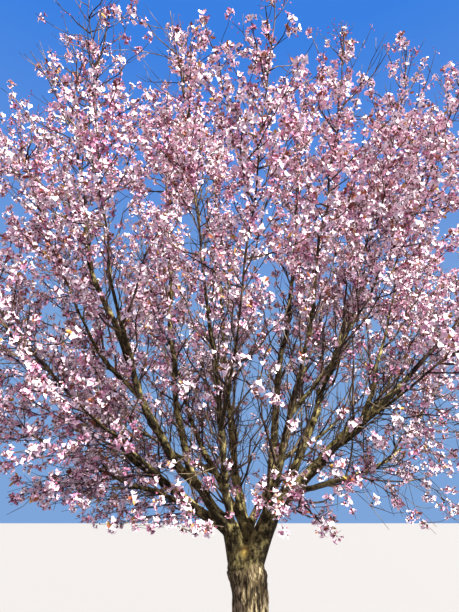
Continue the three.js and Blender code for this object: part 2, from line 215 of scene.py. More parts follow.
# Families that grow on others, in the order of their random draws: name, parents, rule, sides of
# the bars, whether they may cross into another mass's space, and their room past the crown.
# Hanging shoots have a rule of their own.
FAMILIES = (
    ("stem_shoots", "crown_stems", STEM_SHOOTS, 4, False, 1),
    ("outer_shoots", "boughs", LIMB_SHOOTS, 4, False, 1),
    ("branches", "boughs", BRANCHES, 5, True, 1),
    ("hanging_shoots", "boughs", None, 3, True, 1),
    ("spurs", "boughs", SPURS, 3, True, 1),
    ("water_shoots", "boughs", WATER_SHOOTS, 3, True, 1),
    ("spreading_shoots", "spreading_stems", SPREADING_SHOOTS, 4, True, 1),
    ("crown_twigs", "crown_shoots", SHOOT_TWIGS, 3, False, 1),
    ("stem_twigs", "stem_shoots", SHOOT_TWIGS, 3, False, 1),
    ("outer_twigs", "outer_shoots", SHOOT_TWIGS, 3, False, 1),
    ("spreading_twigs", "spreading_shoots", SHOOT_TWIGS, 3, False, 1),
    ("branch_twigs", "branches", BRANCH_TWIGS, 3, True, 1),
    ("hanging_twigs", "hanging_shoots", BRANCH_TWIGS, 3, True, 1.2),
    ("water_twigs", "water_shoots", BRANCH_TWIGS, 3, True, 1),
    ("fork_twigs", "fork_shoots", FORK_TWIGS, 3, True, 1),
    ("right_tufts", "right_tuft_boughs", RIGHT_TUFTS, 3, True, 1),
    ("left_tufts", "left_tuft_boughs", LEFT_TUFTS, 3, True, 1),
)

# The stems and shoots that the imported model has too; a first shoot has one radius, its side
# twig the other.
STEM_TIP = 0.003
STEM_SIDES = 6
FIRST_SHOOT_POINTS = 6
FIRST_SHOOT_RADII = (0.008, 0.0055)
FIRST_SHOOT_TIP = 0.0024
FIRST_SHOOT_SIDES = 4

# Masses whose long shoots spread across the gaps between the stems.
SPREADING = ("left_inner", "left_leader_front", "left_leader_outer", "front_left", "right_top",
             "right_back", "right_upper", "front_right_side")

# Boughs that carry tufts of blossom on short shoots just above the fork.
RIGHT_TUFT_BOUGHS = ("right_main", "front_right", "centre_right")
LEFT_TUFT_BOUGHS = ("left_main", "front_left", "left_leader")

# Long thin shoots from the lowest boughs, some hanging and some nearly level: how many on each
# bough and on its stem, then shares, lengths, reach out, fall, swing and room past the crown.
HANGING_BOUGHS = {
    "left_main": 9, "left_low": 11, "left_front": 8, "right_main": 7, "right_low": 7,
    "right_front": 7, "back_left_low": 8, "back_low": 8, "back_right_low": 8, "front_left": 7,
    "front_right": 6,
}
HANGING_SHOOTS = ((0.12, 0.9), (0.5, 1.2), 0.8, 0.55, 1.2, 1)
LEVEL_BOUGHS = {"left_main": 8, "left_low": 11, "left_front": 6, "back_left_low": 6}
LEVEL_SHOOTS = ((0.1, 0.7), (0.9, 1.7), 1, 0.2, 0.5, 1.25)
HANGING_STEPS = 6
HANGING_LEAST_STEPS = 3
HANGING_WANDER = 0.006
HANGING_RADII = (0.0045, 0.0015)

# Places of blossom: spacing along the twig and the first share of it.
STEM_BLOOMS = (0.085, 0.25)
SHOOT_BLOOMS = (0.074, 0.2)
TWIG_BLOOMS = (0.074, 0.3)
HANGING_BLOOMS = (0.13, 0.3)
FORK_BLOOMS = (0.075, 0.35)

# Families that bear blossom, in the order of their random draws: names, places, share of the
# places in use, and whether the crown's openings and bare parts are ignored. The share may go by
# the mass, or rise towards the left.
BY_MASS = "by mass"
BY_SIDE = "by side"
BLOOMS = (
    (("crown_stems",), STEM_BLOOMS, BY_MASS, False),
    (("crown_shoots", "stem_shoots", "outer_shoots", "spreading_shoots"), SHOOT_BLOOMS, BY_MASS, False),
    (("crown_twigs", "stem_twigs", "outer_twigs", "spreading_twigs"), TWIG_BLOOMS, BY_MASS, False),
    (("branches",), SHOOT_BLOOMS, BY_SIDE, False),
    (("branch_twigs",), TWIG_BLOOMS, BY_SIDE, False),
    (("water_shoots",), SHOOT_BLOOMS, 0.25, False),
    (("water_twigs",), TWIG_BLOOMS, 0.25, False),
    (("hanging_shoots",), HANGING_BLOOMS, 0.7, True),
    (("hanging_twigs",), HANGING_BLOOMS, 0.4, True),
    (("fork_stems", "fork_shoots", "right_tufts", "left_tufts"), FORK_BLOOMS, 1, True),
)
BLOOM_PLACE_PLAY = (0.4, 1)
BLOOM_LEAN_AHEAD = 0.5
BLOOM_LEAN_OUT = 0.5
BLOOM_LEAN_DOWN = 0.2

# Openings through the crown are the crests of a few slow waves.
WINDOW_WAVES = 3
WINDOW_SEED = (71, 913)
WINDOW_SIZE = 0.42
WINDOW_GROWTH = 0.37
WINDOW_PHASE = 6
WINDOW_LEVELS = (0.66, 0.84)

# Open blossom gives way to buds near the crown's upper outside, and its lower middle bears
# little of either.
BARE_CENTRE = np.array((0.3, 0.05, 1.5))
BARE_REACH = (0.6, 1.9)
TIP_FILL = (0.5, 0.95)
TIP_HEIGHT = (3.8, 4.8)
TIP_THINNING = 0.55
CORE_FILL = (0.02, 0.25)
CORE_THINNING = 0.4
FRONT = (0.0, 1.0)
FRONT_HEIGHT = (3.9, 4.8)
FRONT_THINNING = 0.6
LOW_CENTRE = np.array((0.7, 0.4))
LOW_HEIGHT = (2.4, 3.5)
LOW_REACH = (1.2, 2.2)
LOW_THINNING = 0.7
RIGHT_FLANK = (1.2, 2.0)
RIGHT_FLOOR = (2.2, 2.6)
RIGHT_HEIGHT = (2.9, 3.8)
RIGHT_THINNING = 0.35

# Blossom of some masses beside the rest's: less where they crowd, more where they are sparse.
MASS_BLOOM = {
    "left_leader": 0.45, "left_leader_front": 0.65, "left_leader_outer": 0.9, "left_back": 0.35,
    "left_main": 0.7, "left_low": 0.75, "left_front": 0.68, "front_left_side": 0.75, "back_low": 0.65,
    "back_middle": 0.75, "back_left_low": 0.35, "back_left": 1.3, "front_right": 1.4,
    "right_upper_front": 1.2, "right_top": 1.1, "right_upper": 0.9, "right_upper_back": 0.8,
    "right_back": 0.75, "back_right": 0.85, "back_right_low": 0.5,
}

# More of the branches on the left are in blossom.
BRANCH_BLOOM_SHARE = 0.35
LEFT_BRANCHES = (0.3, 0.9)
LEFT_BRANCH_BLOOM = 0.6

# The masses of blossom by side of the tree.
SIDES = {
    "left": ("left_main", "left_low", "left_front", "left_back", "left_leader", "left_inner",
             "left_leader_outer", "left_leader_front"),
    "right": ("right_main", "right_low", "right_front", "right_back", "right_top", "right_upper",
              "right_upper_front", "right_upper_back"),
    "front": ("front_left", "front_left_side", "front_right", "front_right_side", "centre_right",
              "fork_left", "fork_right"),
    "back": ("centre_left", "back_left", "back_left_low", "back_right", "back_right_low",
             "back_middle", "back_low"),
}
PIECE_TRIANGLES = 180_000

# Bark relief: how often it repeats in a metre, across and along, and the lumps' share of a radius.
LUMPS = (11, 11, 8)
LUMP_SHARE = 0.16
RIDGES = (55, 55, 22)
CRACKS = (28, 28, 12)

# What keeps one noise apart from the next, and one limb's from another's.
CRACK_SHIFT = 3
FLAKE_SHIFT = 5
LUMP_SHIFT = 9
GRAIN_OFFSET = np.array((0.37, 0.61, 1.7))


# Vectors, draws and curves


def unit(vectors):
    """Vectors at length one, along the last axis."""
    return vectors / np.maximum(np.linalg.norm(vectors, axis=-1, keepdims=True), 1e-12)


def smooth_step(share):
    share = np.clip(share, 0, 1)
    return share * share * (3 - 2 * share)


def heading(azimuth, rise):
    turn, lift = math.radians(azimuth), math.radians(rise)
    return np.array((math.cos(lift) * math.cos(turn), math.cos(lift) * math.sin(turn), math.sin(lift)))


def level_side(ahead):
    """A level direction square to each heading."""
    return unit(np.cross(ahead, UP) + 1e-6)


def turned(vectors, axes, angles):
    """Vectors turned about unit axes, one angle in radians for each."""
    angles = np.asarray(angles)[..., None]
    along = np.sum(vectors * axes, axis=-1, keepdims=True)
    return (vectors * np.cos(angles) + np.cross(axes, vectors) * np.sin(angles)
            + axes * along * (1 - np.cos(angles)))


def seeded_draws(seed, index):
    """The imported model's own generator of numbers from 0 to 1."""
    state = seed[0] + seed[1] * index

    def draw():
        nonlocal state
        state = state * DRAW_FACTOR % DRAW_RANGE
        return state / DRAW_RANGE

    return draw


class SmoothPath:
    """A centripetal Catmull-Rom curve through knots, walked by the share of its length."""

    divisions = 200
    nudge = 0.0001

    def __init__(self, knots):
        self.knots = np.array(knots, float)
        samples = [self.point(i / self.divisions) for i in range(self.divisions + 1)]
        steps = np.linalg.norm(np.diff(samples, axis=0), axis=1)
        self.walked = np.concatenate(([0.0], np.cumsum(steps)))
        self.length = self.walked[-1]

    def point(self, place):
        knots = self.knots
        last = len(knots) - 1
        first = min(int(last * place), last - 1)
        weight = last * place - first
        p1, p2 = knots[first], knots[first + 1]
        p0 = knots[first - 1] if first > 0 else 2 * p1 - p2
        p3 = knots[first + 2] if first + 2 <= last else 2 * p2 - p1
        d0, d1, d2 = (math.sqrt(np.linalg.norm(b - a)) for a, b in ((p0, p1), (p1, p2), (p2, p3)))
        t1 = ((p1 - p0) / d0 - (p2 - p0) / (d0 + d1) + (p2 - p1) / d1) * d1
        t2 = ((p2 - p1) / d1 - (p3 - p1) / (d1 + d2) + (p3 - p2) / d2) * d1
        square = -3 * p1 + 3 * p2 - 2 * t1 - t2
        cube = 2 * p1 - 2 * p2 + t1 + t2
        return p1 + weight * (t1 + weight * (square + weight * cube))

    def place_of(self, share):
        target = share * self.length
        first = min(int(np.searchsorted(self.walked, target, side="right")) - 1, self.divisions - 1)
        step = self.walked[first + 1] - self.walked[first]
        return (first + (target - self.walked[first]) / step) / self.divisions

    def at(self, share):
        return self.point(self.place_of(share))

    def heading_at(self, share):
        place = self.place_of(share)
        return unit(self.point(min(1, place + self.nudge)) - self.point(max(0, place - self.nudge)))

    def points(self, shares):
        return np.array([self.at(share) for share in shares])


def columns(rows):
    """One array for each value of rows that are alike."""
    return [np.array(column) for column in zip(*rows)]


def distances(spots, starts, ends):
    """Distance from each of n spots to each of m straight segments, as an n by m table."""
    along = ends - starts
    squares = np.maximum(np.sum(along * along, axis=1), 1e-12)
    away = spots[:, None] - starts[None]
    share = np.clip(np.sum(away * along[None], axis=2) / squares, 0, 1)
    return np.linalg.norm(away - share[..., None] * along[None], axis=2)


# The tree's plan: limbs, masses, shoots, finer twigs and places for blossom


class Limb:
    """One tapering bough, or one short stem of the trunk's head."""

    def __init__(self, name, number, knots, base, tip, collar=True):
        self.name = name
        self.number = number
        self.knots = np.array(knots)
        self.path = SmoothPath(knots)
        self.base = base
        self.tip = tip
        self.collar = collar

    def radius_at(self, share):
        taper = self.base + (self.tip - self.base) * share
        if not self.collar:
            return taper
        return taper + COLLAR_SHARE * self.base * np.exp(-share * self.path.length / COLLAR_REACH)

    def bent(self, shares):
        """Points of the path with a bough's small kinks, which fade out at both ends."""
        spots = self.path.points(shares)
        if not self.collar:
            return spots
        walked = shares * self.path.length
        apart = self.number * KINK_APART
        kinks = [[noise.noise(Vector((walk * KINK_RATE + shift, apart + shift, shift)))
                  for shift in KINK_SHIFTS] for walk in walked]
        fade = np.clip(np.minimum(walked, self.path.length - walked) / KINK_FADE, 0, 1)
        return spots + np.array(kinks) * (KINK_SIZE * self.radius_at(shares) * fade)[:, None]


class Mass:
    """One mass of blossom, on a stem that goes on from a bough's tip."""

    def __init__(self, name, draw, stretch, knots, base, scale, limb):
        self.name = name
        self.draw = draw
        self.stretch = stretch
        self.knots = np.array(knots)
        self.path = SmoothPath(knots)
        self.base = base
        self.scale = scale
        self.limb = limb


def head_stems():
    stems = {}
    for index, (name, (start, end, base, tip)) in enumerate(HEAD_STEMS.items()):
        start, end = np.array(start), np.array(end)
        middle = (start + end) / 2 + UP * HEAD_STEM_ARCH
        stems[name] = Limb(name, len(BOUGHS) + index, (start, middle, end), base, tip, collar=False)
    return stems


def grow_limbs(stems):
    """Each bough's heading turns by sweep and rises by curl, and wanders by its own seed."""
    limbs = {}
    for index, (name, parent, at, azimuth, sweep, rise, curl, length, base) in enumerate(BOUGHS):
        draw = seeded_draws(LIMB_SEED, index)
        knots = [(stems | limbs)[parent].path.at(at)]
        for step in range(LIMB_STEPS):
            share = (step + 0.5) / LIMB_STEPS
            turn = azimuth + sweep * share + LIMB_WANDER * 2 * (draw() - 0.5)
            lift = rise + curl * share + LIMB_WANDER * (draw() - 0.5)
            knots.append(knots[-1] + heading(turn, lift) * length / LIMB_STEPS)
        limbs[name] = Limb(name, index, knots, base, base * LIMB_TIP_SHARE)
    return limbs


def crown_fill(spots):
    """0 in the middle of the crown and 1 on its outside."""
    upright = spots + UP * CROWN_LEAN * spots[..., :1]
    return np.sum(np.abs((upright - CROWN_CENTRE) / CROWN_REACH) ** CROWN_SQUARENESS, axis=-1)


def in_crown(spots, stretch):
    floor = CROWN_FLOOR + CROWN_FLOOR_SLOPE * np.hypot(spots[..., 0], spots[..., 1])
    return (crown_fill(spots) <= stretch) & (spots[..., 2] > floor)


def spine_of(start, direction, stretch):
    """A stem goes on to the outside of the crown, lifting a little."""
    spine = [start]
    way = direction
    while in_crown(spine[-1], stretch):
        way = unit(way + UP * STEM_LIFT)
        spine.append(spine[-1] + way * SPINE_STRIDE)
    places = (math.floor(knot / STEM_KNOTS * (len(spine) - 1) + 0.5) for knot in range(STEM_KNOTS + 1))
    return [spine[place] for place in places]


def plan_masses(stems, limbs):
    masses = []
    for index, limb in enumerate(limbs.values()):
        draw = seeded_draws(MASS_SEED, index)
        direction = limb.path.heading_at(1)
        stretch = LEAST_STRETCH + STRETCH_RANGE * draw()
        knots = spine_of(limb.path.at(1) + direction * TOUCH_GAP, direction, stretch)
        base = max(limb.tip, STEM_LEAST_RADIUS)
        masses.append(Mass(limb.name, draw, stretch, knots, base, 1, limb))
    for index, (name, (stem, share, azimuth, rise)) in enumerate(FORK_SPRAYS.items()):
        start = stems[stem].path.at(share)
        knots = [start + heading(azimuth, rise) * part * FORK_SPRAY_LENGTH for part in (0, 0.5, 1)]
        base = STEM_LEAST_RADIUS * FORK_SPRAY_SCALE
        draw = seeded_draws(FORK_SPRAY_SEED, index)
        masses.append(Mass(name, draw, 1, knots, base, FORK_SPRAY_SCALE, None))
    return masses


class Room:
    """Tells where a mass may grow: inside the crown, off the limbs and nearer to its own stem."""

    def __init__(self, limbs, masses):
        self.masses = masses
        self.limb_start, self.limb_end, self.limb_base = columns(
            (a, b, limb.base) for limb in limbs.values() for a, b in zip(limb.knots, limb.knots[1:])
        )
        self.stem_start, self.stem_end, self.stem_mass, self.stem_base = columns(
            (a, b, index, mass.base)
            for index, mass in enumerate(masses)
            for a, b in zip(mass.knots, mass.knots[1:])
        )
        self.held = []

    def hold(self, index, start, end, room):
        """Keeps room round a twig or a spray that is placed."""
        self.held.append((start, end, index, room))

    def allowed(self, index, spot, room):
        mass = self.masses[index]
        if not in_crown(spot, mass.stretch):
            return False
        spot = spot[None]
        if np.any(distances(spot, self.limb_start, self.limb_end)[0] <= room + self.limb_base):
            return False
        away = distances(spot, self.stem_start, self.stem_end)[0]
        own = self.stem_mass == index
        least = away[own].min() + CELL_MARGIN
        if np.any(away[~own] <= np.maximum(least, room + self.stem_base[~own])):
            return False
        others = [row for row in self.held if row[2] != index]
        if not others:
            return True
        starts, ends, _, rooms = columns(others)
        return bool(np.all(distances(spot, starts, ends)[0] > room + rooms))


def grow_shoots(index, mass, room):
    """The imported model's own shoots: start, tip and rank, with one side twig on each."""
    draw, scale = mass.draw, mass.scale
    blooms, shoots = [], []
    spray_room = SPRAY_WIDTH * scale / 2
    spacing = SPRAY_SPACING * SPRAY_WIDTH * scale

    def add_spray(spot):
        for _ in range(SPRAY_DRAWS):
            draw()
        blooms.append(spot)
        room.hold(index, spot, spot, spray_room)

    def fits(start, tip):
        if any(np.linalg.norm(bloom - tip) < spacing for bloom in blooms):
            return False
        if not room.allowed(index, tip, spray_room):
            return False
        between = (start + (tip - start) * share for share in TWIG_TESTS)
        return all(room.allowed(index, spot, LIMB_MARGIN) for spot in between)

    def add_twig(start, direction, longest, rank):
        reach = longest
        while reach > SHOOT_SHORTEST * scale:
            tip = start + direction * reach
            if fits(start, tip):
                shoots.append((start, tip, rank))
                room.hold(index, start, tip, LIMB_MARGIN)
                add_spray(tip)
                return tip
            reach *= SHOOT_SHORTEN
        return None

    first = SHOOT_START if mass.limb else FORK_SHOOT_START
    count = SHOOTS_PER_MASS if mass.limb else SHOOTS_PER_FORK_SPRAY
    for shoot in range(count):
        share = first + (SHOOT_END - first) * shoot / (count - 1)
        start, ahead = mass.path.at(share), mass.path.heading_at(share)
        around = unit(np.cross(ahead, UP))
        around = turned(around, ahead, GOLDEN_ANGLE * shoot + math.radians(TURN_PLAY * draw()))
        lean = math.radians(SHOOT_LEAN - SHOOT_LEAN_DROP * share + LEAN_PLAY * (draw() - 0.5))
        direction = ahead * math.cos(lean) + around * math.sin(lean)
        tip = add_twig(start, direction, SHOOT_LONGEST * scale * (1 - SHOOT_WANE * share), 0)
        if tip is None:
            continue
        away = unit(np.cross(direction, UP))
        away = turned(away, direction, math.pi * shoot + math.radians(SIDE_PLAY * (draw() - 0.5)))
        slant = unit(direction + away * SIDE_SPREAD)
        longest = SIDE_SHARE * np.linalg.norm(tip - start) + SIDE_EXTRA * scale
        add_twig(start + (tip - start) * SIDE_JOINT, slant, longest, 1)
    add_spray(mass.path.at(1))
    return shoots


class Twigs:
    """Many twigs alike: their points, the radii there, and the mass that each belongs to."""

    def __init__(self, lines, first_radius, last_radius, mass):
        self.lines = np.asarray(lines, float)
        self.mass = np.asarray(mass, int)
        count, points = self.lines.shape[:2]
        share = np.linspace(0, 1, points)
        first = np.broadcast_to(first_radius, count)[:, None]
        last = np.broadcast_to(last_radius, count)[:, None]
        self.radii = first + (last - first) * share
        self.lengths = np.linalg.norm(np.diff(self.lines, axis=1), axis=2).sum(axis=1)

    def spots(self, twig, share):
        """Point and heading at a share of the length of each named twig."""
        steps = self.lines.shape[1] - 1
        step = np.minimum((share * steps).astype(int), steps - 1)
        weight = (share * steps - step)[:, None]
        start, end = self.lines[twig, step], self.lines[twig, step + 1]
        return start + (end - start) * weight, unit(end - start)

    def picked(self, keep):
        made = Twigs.__new__(Twigs)
        made.lines, made.mass = self.lines[keep], self.mass[keep]
        made.radii, made.lengths = self.radii[keep], self.lengths[keep]
        return made


def arched(starts, tips, points, sag, rng):
    """Twigs that dip a little below the straight line, more the more level they are, and wander."""
    starts, tips = np.asarray(starts), np.asarray(tips)
    share = np.linspace(0, 1, points)[None, :, None]
    along = tips - starts
    length = np.linalg.norm(along, axis=1)[:, None, None]
    level = np.hypot(along[:, 0], along[:, 1])[:, None, None]
    hump = 4 * share * (1 - share)
    lines = starts[:, None] + along[:, None] * share - UP * sag * level * hump
    wander = rng.normal(0, 1, (len(starts), points, 3)) * TWIG_WANDER * length
    return lines + wander * np.minimum(1, END_HOLD * share) * np.minimum(1, END_HOLD * (1 - share))


class FineRoom:
    """A looser rule for thousands of finer twigs at once: a mass also owns its bough's outer part."""

    batch = 4000

    def __init__(self, limbs, masses):
        rows = []
        for index, mass in enumerate(masses):
            knots = [*mass.limb.knots[OWN_BOUGH_KNOTS], *mass.knots] if mass.limb else mass.knots
            rows += [(a, b, index) for a, b in zip(knots, knots[1:])]
        self.starts, self.ends, self.owner = columns(rows)
        self.stretch = np.array([mass.stretch for mass in masses])
        self.limb_start, self.limb_end, self.limb_radius = columns(
            (a, b, limb.radius_at((i + 0.5) / LIMB_STEPS))
            for limb in limbs.values()
            for i, (a, b) in enumerate(zip(limb.knots, limb.knots[1:]))
        )

    def owners(self, spots):
        return self.owner[np.argmin(distances(spots, self.starts, self.ends), axis=1)]

    def allowed(self, mass, spots, crossing, past):
        fits = np.zeros(len(spots), bool)
        for first in range(0, len(spots), self.batch):
            part = slice(first, first + self.batch)
            inside = in_crown(spots[part], self.stretch[mass[part]] * FINE_STRETCH * past)
            own = crossing | (self.owners(spots[part]) == mass[part])
            away = distances(spots[part], self.limb_start, self.limb_end)
            clear = np.all(away > self.limb_radius + FINE_LIMB_MARGIN, axis=1)
            fits[part] = inside & own & clear
        return fits


def side_twigs(parents, rule, room, rng, crossing, past):
    """Twigs by the golden angle along many parents, the longest of three lengths that has room.

    A crossing twig may leave its own mass's space. Past is how far it may stretch the crown.
    """
    spacing, first, last, lean, shortest, longest, lift, points, base, tip = rule
    counts = np.maximum((parents.lengths * (last - first) / spacing).astype(int), 1)
    twig = np.repeat(np.arange(len(counts)), counts)
    order = np.arange(len(twig)) - np.repeat(np.cumsum(counts) - counts, counts)
    share = first + (last - first) * (order + rng.uniform(*FINE_PLACE_PLAY, len(twig))) / counts[twig]
    start, ahead = parents.spots(twig, share)
    turn = GOLDEN_ANGLE * order + rng.uniform(0, 2 * math.pi, len(counts))[twig]
    around = turned(level_side(ahead), ahead, turn + rng.normal(0, FINE_TURN_PLAY, len(twig)))
    slant = np.radians(lean + rng.normal(0, FINE_LEAN_PLAY, len(twig)))[:, None]
    direction = unit(ahead * np.cos(slant) + around * np.sin(slant) + UP * lift)
    length = rng.uniform(shortest, longest, len(twig)) * (1 - FINE_WANE * share)
    mass = parents.mass[twig]
    reach = np.zeros(len(twig))
    for shorter in FINE_SHORTER:
        tried = reach == 0
        tips = start[tried] + direction[tried] * (length[tried] * shorter)[:, None]
        halfway = (start[tried] + tips) / 2
        fits = room.allowed(mass[tried], tips, crossing, past)
        fits &= room.allowed(mass[tried], halfway, crossing, past)
        reach[np.flatnonzero(tried)[fits]] = (length[tried] * shorter)[fits]
    grown = reach > 0
    tips = start[grown] + direction[grown] * reach[grown][:, None]
    lines = arched(start[grown], tips, points, TWIG_SAG, rng)
    scale = FINE_THINNEST + (1 - FINE_THINNEST) * reach[grown] / longest
    return Twigs(lines, base * scale, tip, mass[grown])


def hanging_shoots(masses, rng):
    """Long shoots that reach out from the lowest boughs and fall, down to the crown's floor."""
    share = np.linspace(0, 1, HANGING_STEPS + 1)[:, None]
    lines, owners = [], []
    kinds = ((HANGING_BOUGHS, HANGING_SHOOTS), (LEVEL_BOUGHS, LEVEL_SHOOTS))
    planned = [(counts[mass.name], rule, index, mass) for counts, rule in kinds
               for index, mass in enumerate(masses) if mass.name in counts]
    for count, (shares, lengths, reach, fall, swing, past), index, mass in planned:
        starts = [*mass.limb.bent(rng.uniform(*shares, count))]
        starts += [*mass.path.points(rng.uniform(*shares, count))]
        for start in starts:
            out = turned(unit(start * np.array((1, 1, 0))), UP, rng.uniform(-swing, swing))
            length = rng.uniform(*lengths)

            def line_to(part):
                walk = length * share * part
                return start + out * reach * walk - UP * fall * walk ** 2 / length

            kept = np.flatnonzero(in_crown(line_to(1), mass.stretch * past))
            if len(kept) and kept[-1] >= HANGING_LEAST_STEPS:
                line = line_to(kept[-1] / HANGING_STEPS)
                wander = rng.normal(0, HANGING_WANDER, line.shape)
                lines.append(line + wander * np.minimum(1, END_HOLD * share))
                owners.append(index)
    return Twigs(lines, *HANGING_RADII, owners)


def openness(spots):
    """Slow waves through the crown, from 0 to 1, high where it opens."""
    wave = np.zeros(len(spots))
    for index in range(WINDOW_WAVES):
        draw = seeded_draws(WINDOW_SEED, index)
        along = unit(np.array((draw() - 0.5, draw() - 0.5, draw() - 0.5)))
        size = WINDOW_SIZE * (1 + WINDOW_GROWTH * index)
        wave += np.sin(spots @ along * 2 * math.pi / size + WINDOW_PHASE * draw())
    return wave / (2 * WINDOW_WAVES) + 0.5


def ramp(values, between):
    """0 below the first and 1 above the second, smooth between."""
    return smooth_step((values - between[0]) / (between[1] - between[0]))


def bloom_chance(spots):
    """Share of the places that bear buds or blossom, and share that bears open blossom."""
    height = spots[:, 2]
    inner = 1 - ramp(np.linalg.norm(spots[:, :2] - LOW_CENTRE, axis=1), LOW_REACH)
    any_bloom = ramp(np.linalg.norm(spots - BARE_CENTRE, axis=1), BARE_REACH)
    any_bloom *= 1 - LOW_THINNING * inner * (1 - ramp(height, LOW_HEIGHT))
    lower_right = ramp(spots[:, 0], RIGHT_FLANK) * ramp(height, RIGHT_FLOOR)
    lower_right *= 1 - ramp(height, RIGHT_HEIGHT)
    any_bloom *= 1 - RIGHT_THINNING * lower_right
    any_bloom *= 1 - FRONT_THINNING * ramp(-spots[:, 1], FRONT) * ramp(height, FRONT_HEIGHT)
    any_bloom *= 1 - CORE_THINNING * (1 - ramp(crown_fill(spots), CORE_FILL))
    any_bloom *= 1 - ramp(openness(spots), WINDOW_LEVELS)
    tips = TIP_THINNING * ramp(crown_fill(spots), TIP_FILL) * ramp(height, TIP_HEIGHT)
    return any_bloom, any_bloom * (1 - tips)


def bloom_sites(twigs, rule, density, rng, everywhere):
    """Place, facing and mass of each cluster along the twigs, and whether it is still in bud.

    The density is one number or one for each twig.
    """
    spacing, first = rule
    counts = twigs.lengths * (1 - first) / spacing + rng.uniform(0, 1, len(twigs.mass))
    counts = np.maximum(counts, 1).astype(int)
    twig = np.repeat(np.arange(len(counts)), counts)
    order = np.arange(len(twig)) - np.repeat(np.cumsum(counts) - counts, counts)
    played = order + rng.uniform(*BLOOM_PLACE_PLAY, len(twig))
    share = np.minimum(first + (1 - first) * played / counts[twig], 1)
    spot, ahead = twigs.spots(twig, share)
    around = turned(level_side(ahead), ahead, rng.uniform(0, 2 * math.pi, len(twig)))
    outward = unit(spot - CROWN_CENTRE) * BLOOM_LEAN_OUT
    facing = unit(ahead * BLOOM_LEAN_AHEAD + around + outward - UP * BLOOM_LEAN_DOWN)
    any_bloom, open_bloom = bloom_chance(spot)
    density = np.broadcast_to(density, len(counts))[twig]
    drawn = rng.uniform(0, 1, len(twig))
    flowering = drawn < density * np.maximum(open_bloom, everywhere)
    keep = flowering | (drawn < density * any_bloom)
    return spot[keep], facing[keep], twigs.mass[twig][keep], ~flowering[keep]


def grow_twigs(limbs, masses, rng):
    """Every family of twigs by name, and how many sides the bars of those that show have."""
    room = Room(limbs, masses)
    starts, tips, ranks, owners = columns(
        (*row, index) for index, mass in enumerate(masses) for row in grow_shoots(index, mass, room)
    )
    shares = np.linspace(0, 1, STEM_POINTS)
    lines = np.array([mass.path.points(shares) for mass in masses])
    scales = np.array([mass.scale for mass in masses])[:, None, None]
    lines[:, 1:] += rng.normal(0, STEM_WANDER, lines[:, 1:].shape) * scales
    own = [mass.limb.tip if mass.limb else mass.base for mass in masses]
    stems = Twigs(lines, own, STEM_TIP, range(len(masses)))
    lines = arched(starts, tips, FIRST_SHOOT_POINTS, TWIG_SAG, rng)
    first_shoots = Twigs(lines, np.array(FIRST_SHOOT_RADII)[ranks], FIRST_SHOOT_TIP, owners)
    bough_lines = [mass.limb.bent(np.linspace(0, 1, BOUGH_POINTS)) for mass in masses if mass.limb]
    on_bough = [mass.name for mass in masses if mass.limb]
    boughs = Twigs(bough_lines, 0, 0, range(len(on_bough)))

    def named(twigs, names):
        return twigs.picked(np.array([masses[index].name in names for index in twigs.mass]))

    grown = {
        "stems": stems,
        "crown_stems": named(stems, on_bough),
        "spreading_stems": named(stems, SPREADING),
        "fork_stems": named(stems, FORK_SPRAYS),
        "first_shoots": first_shoots,
        "crown_shoots": named(first_shoots, on_bough),
        "fork_shoots": named(first_shoots, FORK_SPRAYS),
        "boughs": boughs,
        "right_tuft_boughs": named(boughs, RIGHT_TUFT_BOUGHS),
        "left_tuft_boughs": named(boughs, LEFT_TUFT_BOUGHS),
    }
    sides = {"stems": STEM_SIDES, "first_shoots": FIRST_SHOOT_SIDES}
    fine = FineRoom(limbs, masses)
    for name, parents, rule, count, crossing, past in FAMILIES:
        sides[name] = count
        if rule:
            grown[name] = side_twigs(grown[parents], rule, fine, rng, crossing, past)
        else:
            grown[name] = hanging_shoots(masses, rng)
    return grown, sides


def plan_blooms(grown, masses, rng):
    """Place, facing and mass of every cluster, and whether it is still in bud."""
    richness = np.array([MASS_BLOOM.get(mass.name, 1) for mass in masses])
    sites = []
    for names, rule, share, everywhere in BLOOMS:
        for name in names:
            family = grown[name]
            density = share
            if share == BY_MASS:
                density = richness[family.mass]
            elif share == BY_SIDE:
                leftward = ramp(-family.lines[:, -1, 0], LEFT_BRANCHES)
                density = BRANCH_BLOOM_SHARE + LEFT_BRANCH_BLOOM * leftward
            sites.append(bloom_sites(family, rule, density, rng, everywhere))
    return [np.concatenate(column) for column in zip(*sites)]


@cache
def tree_plan():
    """Everything that the pieces are made from, worked out once."""
    stems = head_stems()
    limbs = grow_limbs(stems)
    masses = plan_masses(stems, limbs)
    rng = np.random.default_rng(FINE_SEED)
    grown, sides = grow_twigs(limbs, masses, rng)
    spots, facings, owners, in_bud = plan_blooms(grown, masses, rng)
    return {
        "stems": stems,
        "limbs": limbs,
        "masses": masses,
        "twigs": [(grown[name], sides[name]) for name in sorted(sides, key=sides.get, reverse=True)],
        "spots": spots,
        "facings": facings,
        "owners": owners,
        "in_bud": in_bud,
    }


def masses_on(side):
    names = [mass.name for mass in tree_plan()["masses"]]
    return np.array([names.index(name) for name in SIDES[side]])


# Meshes


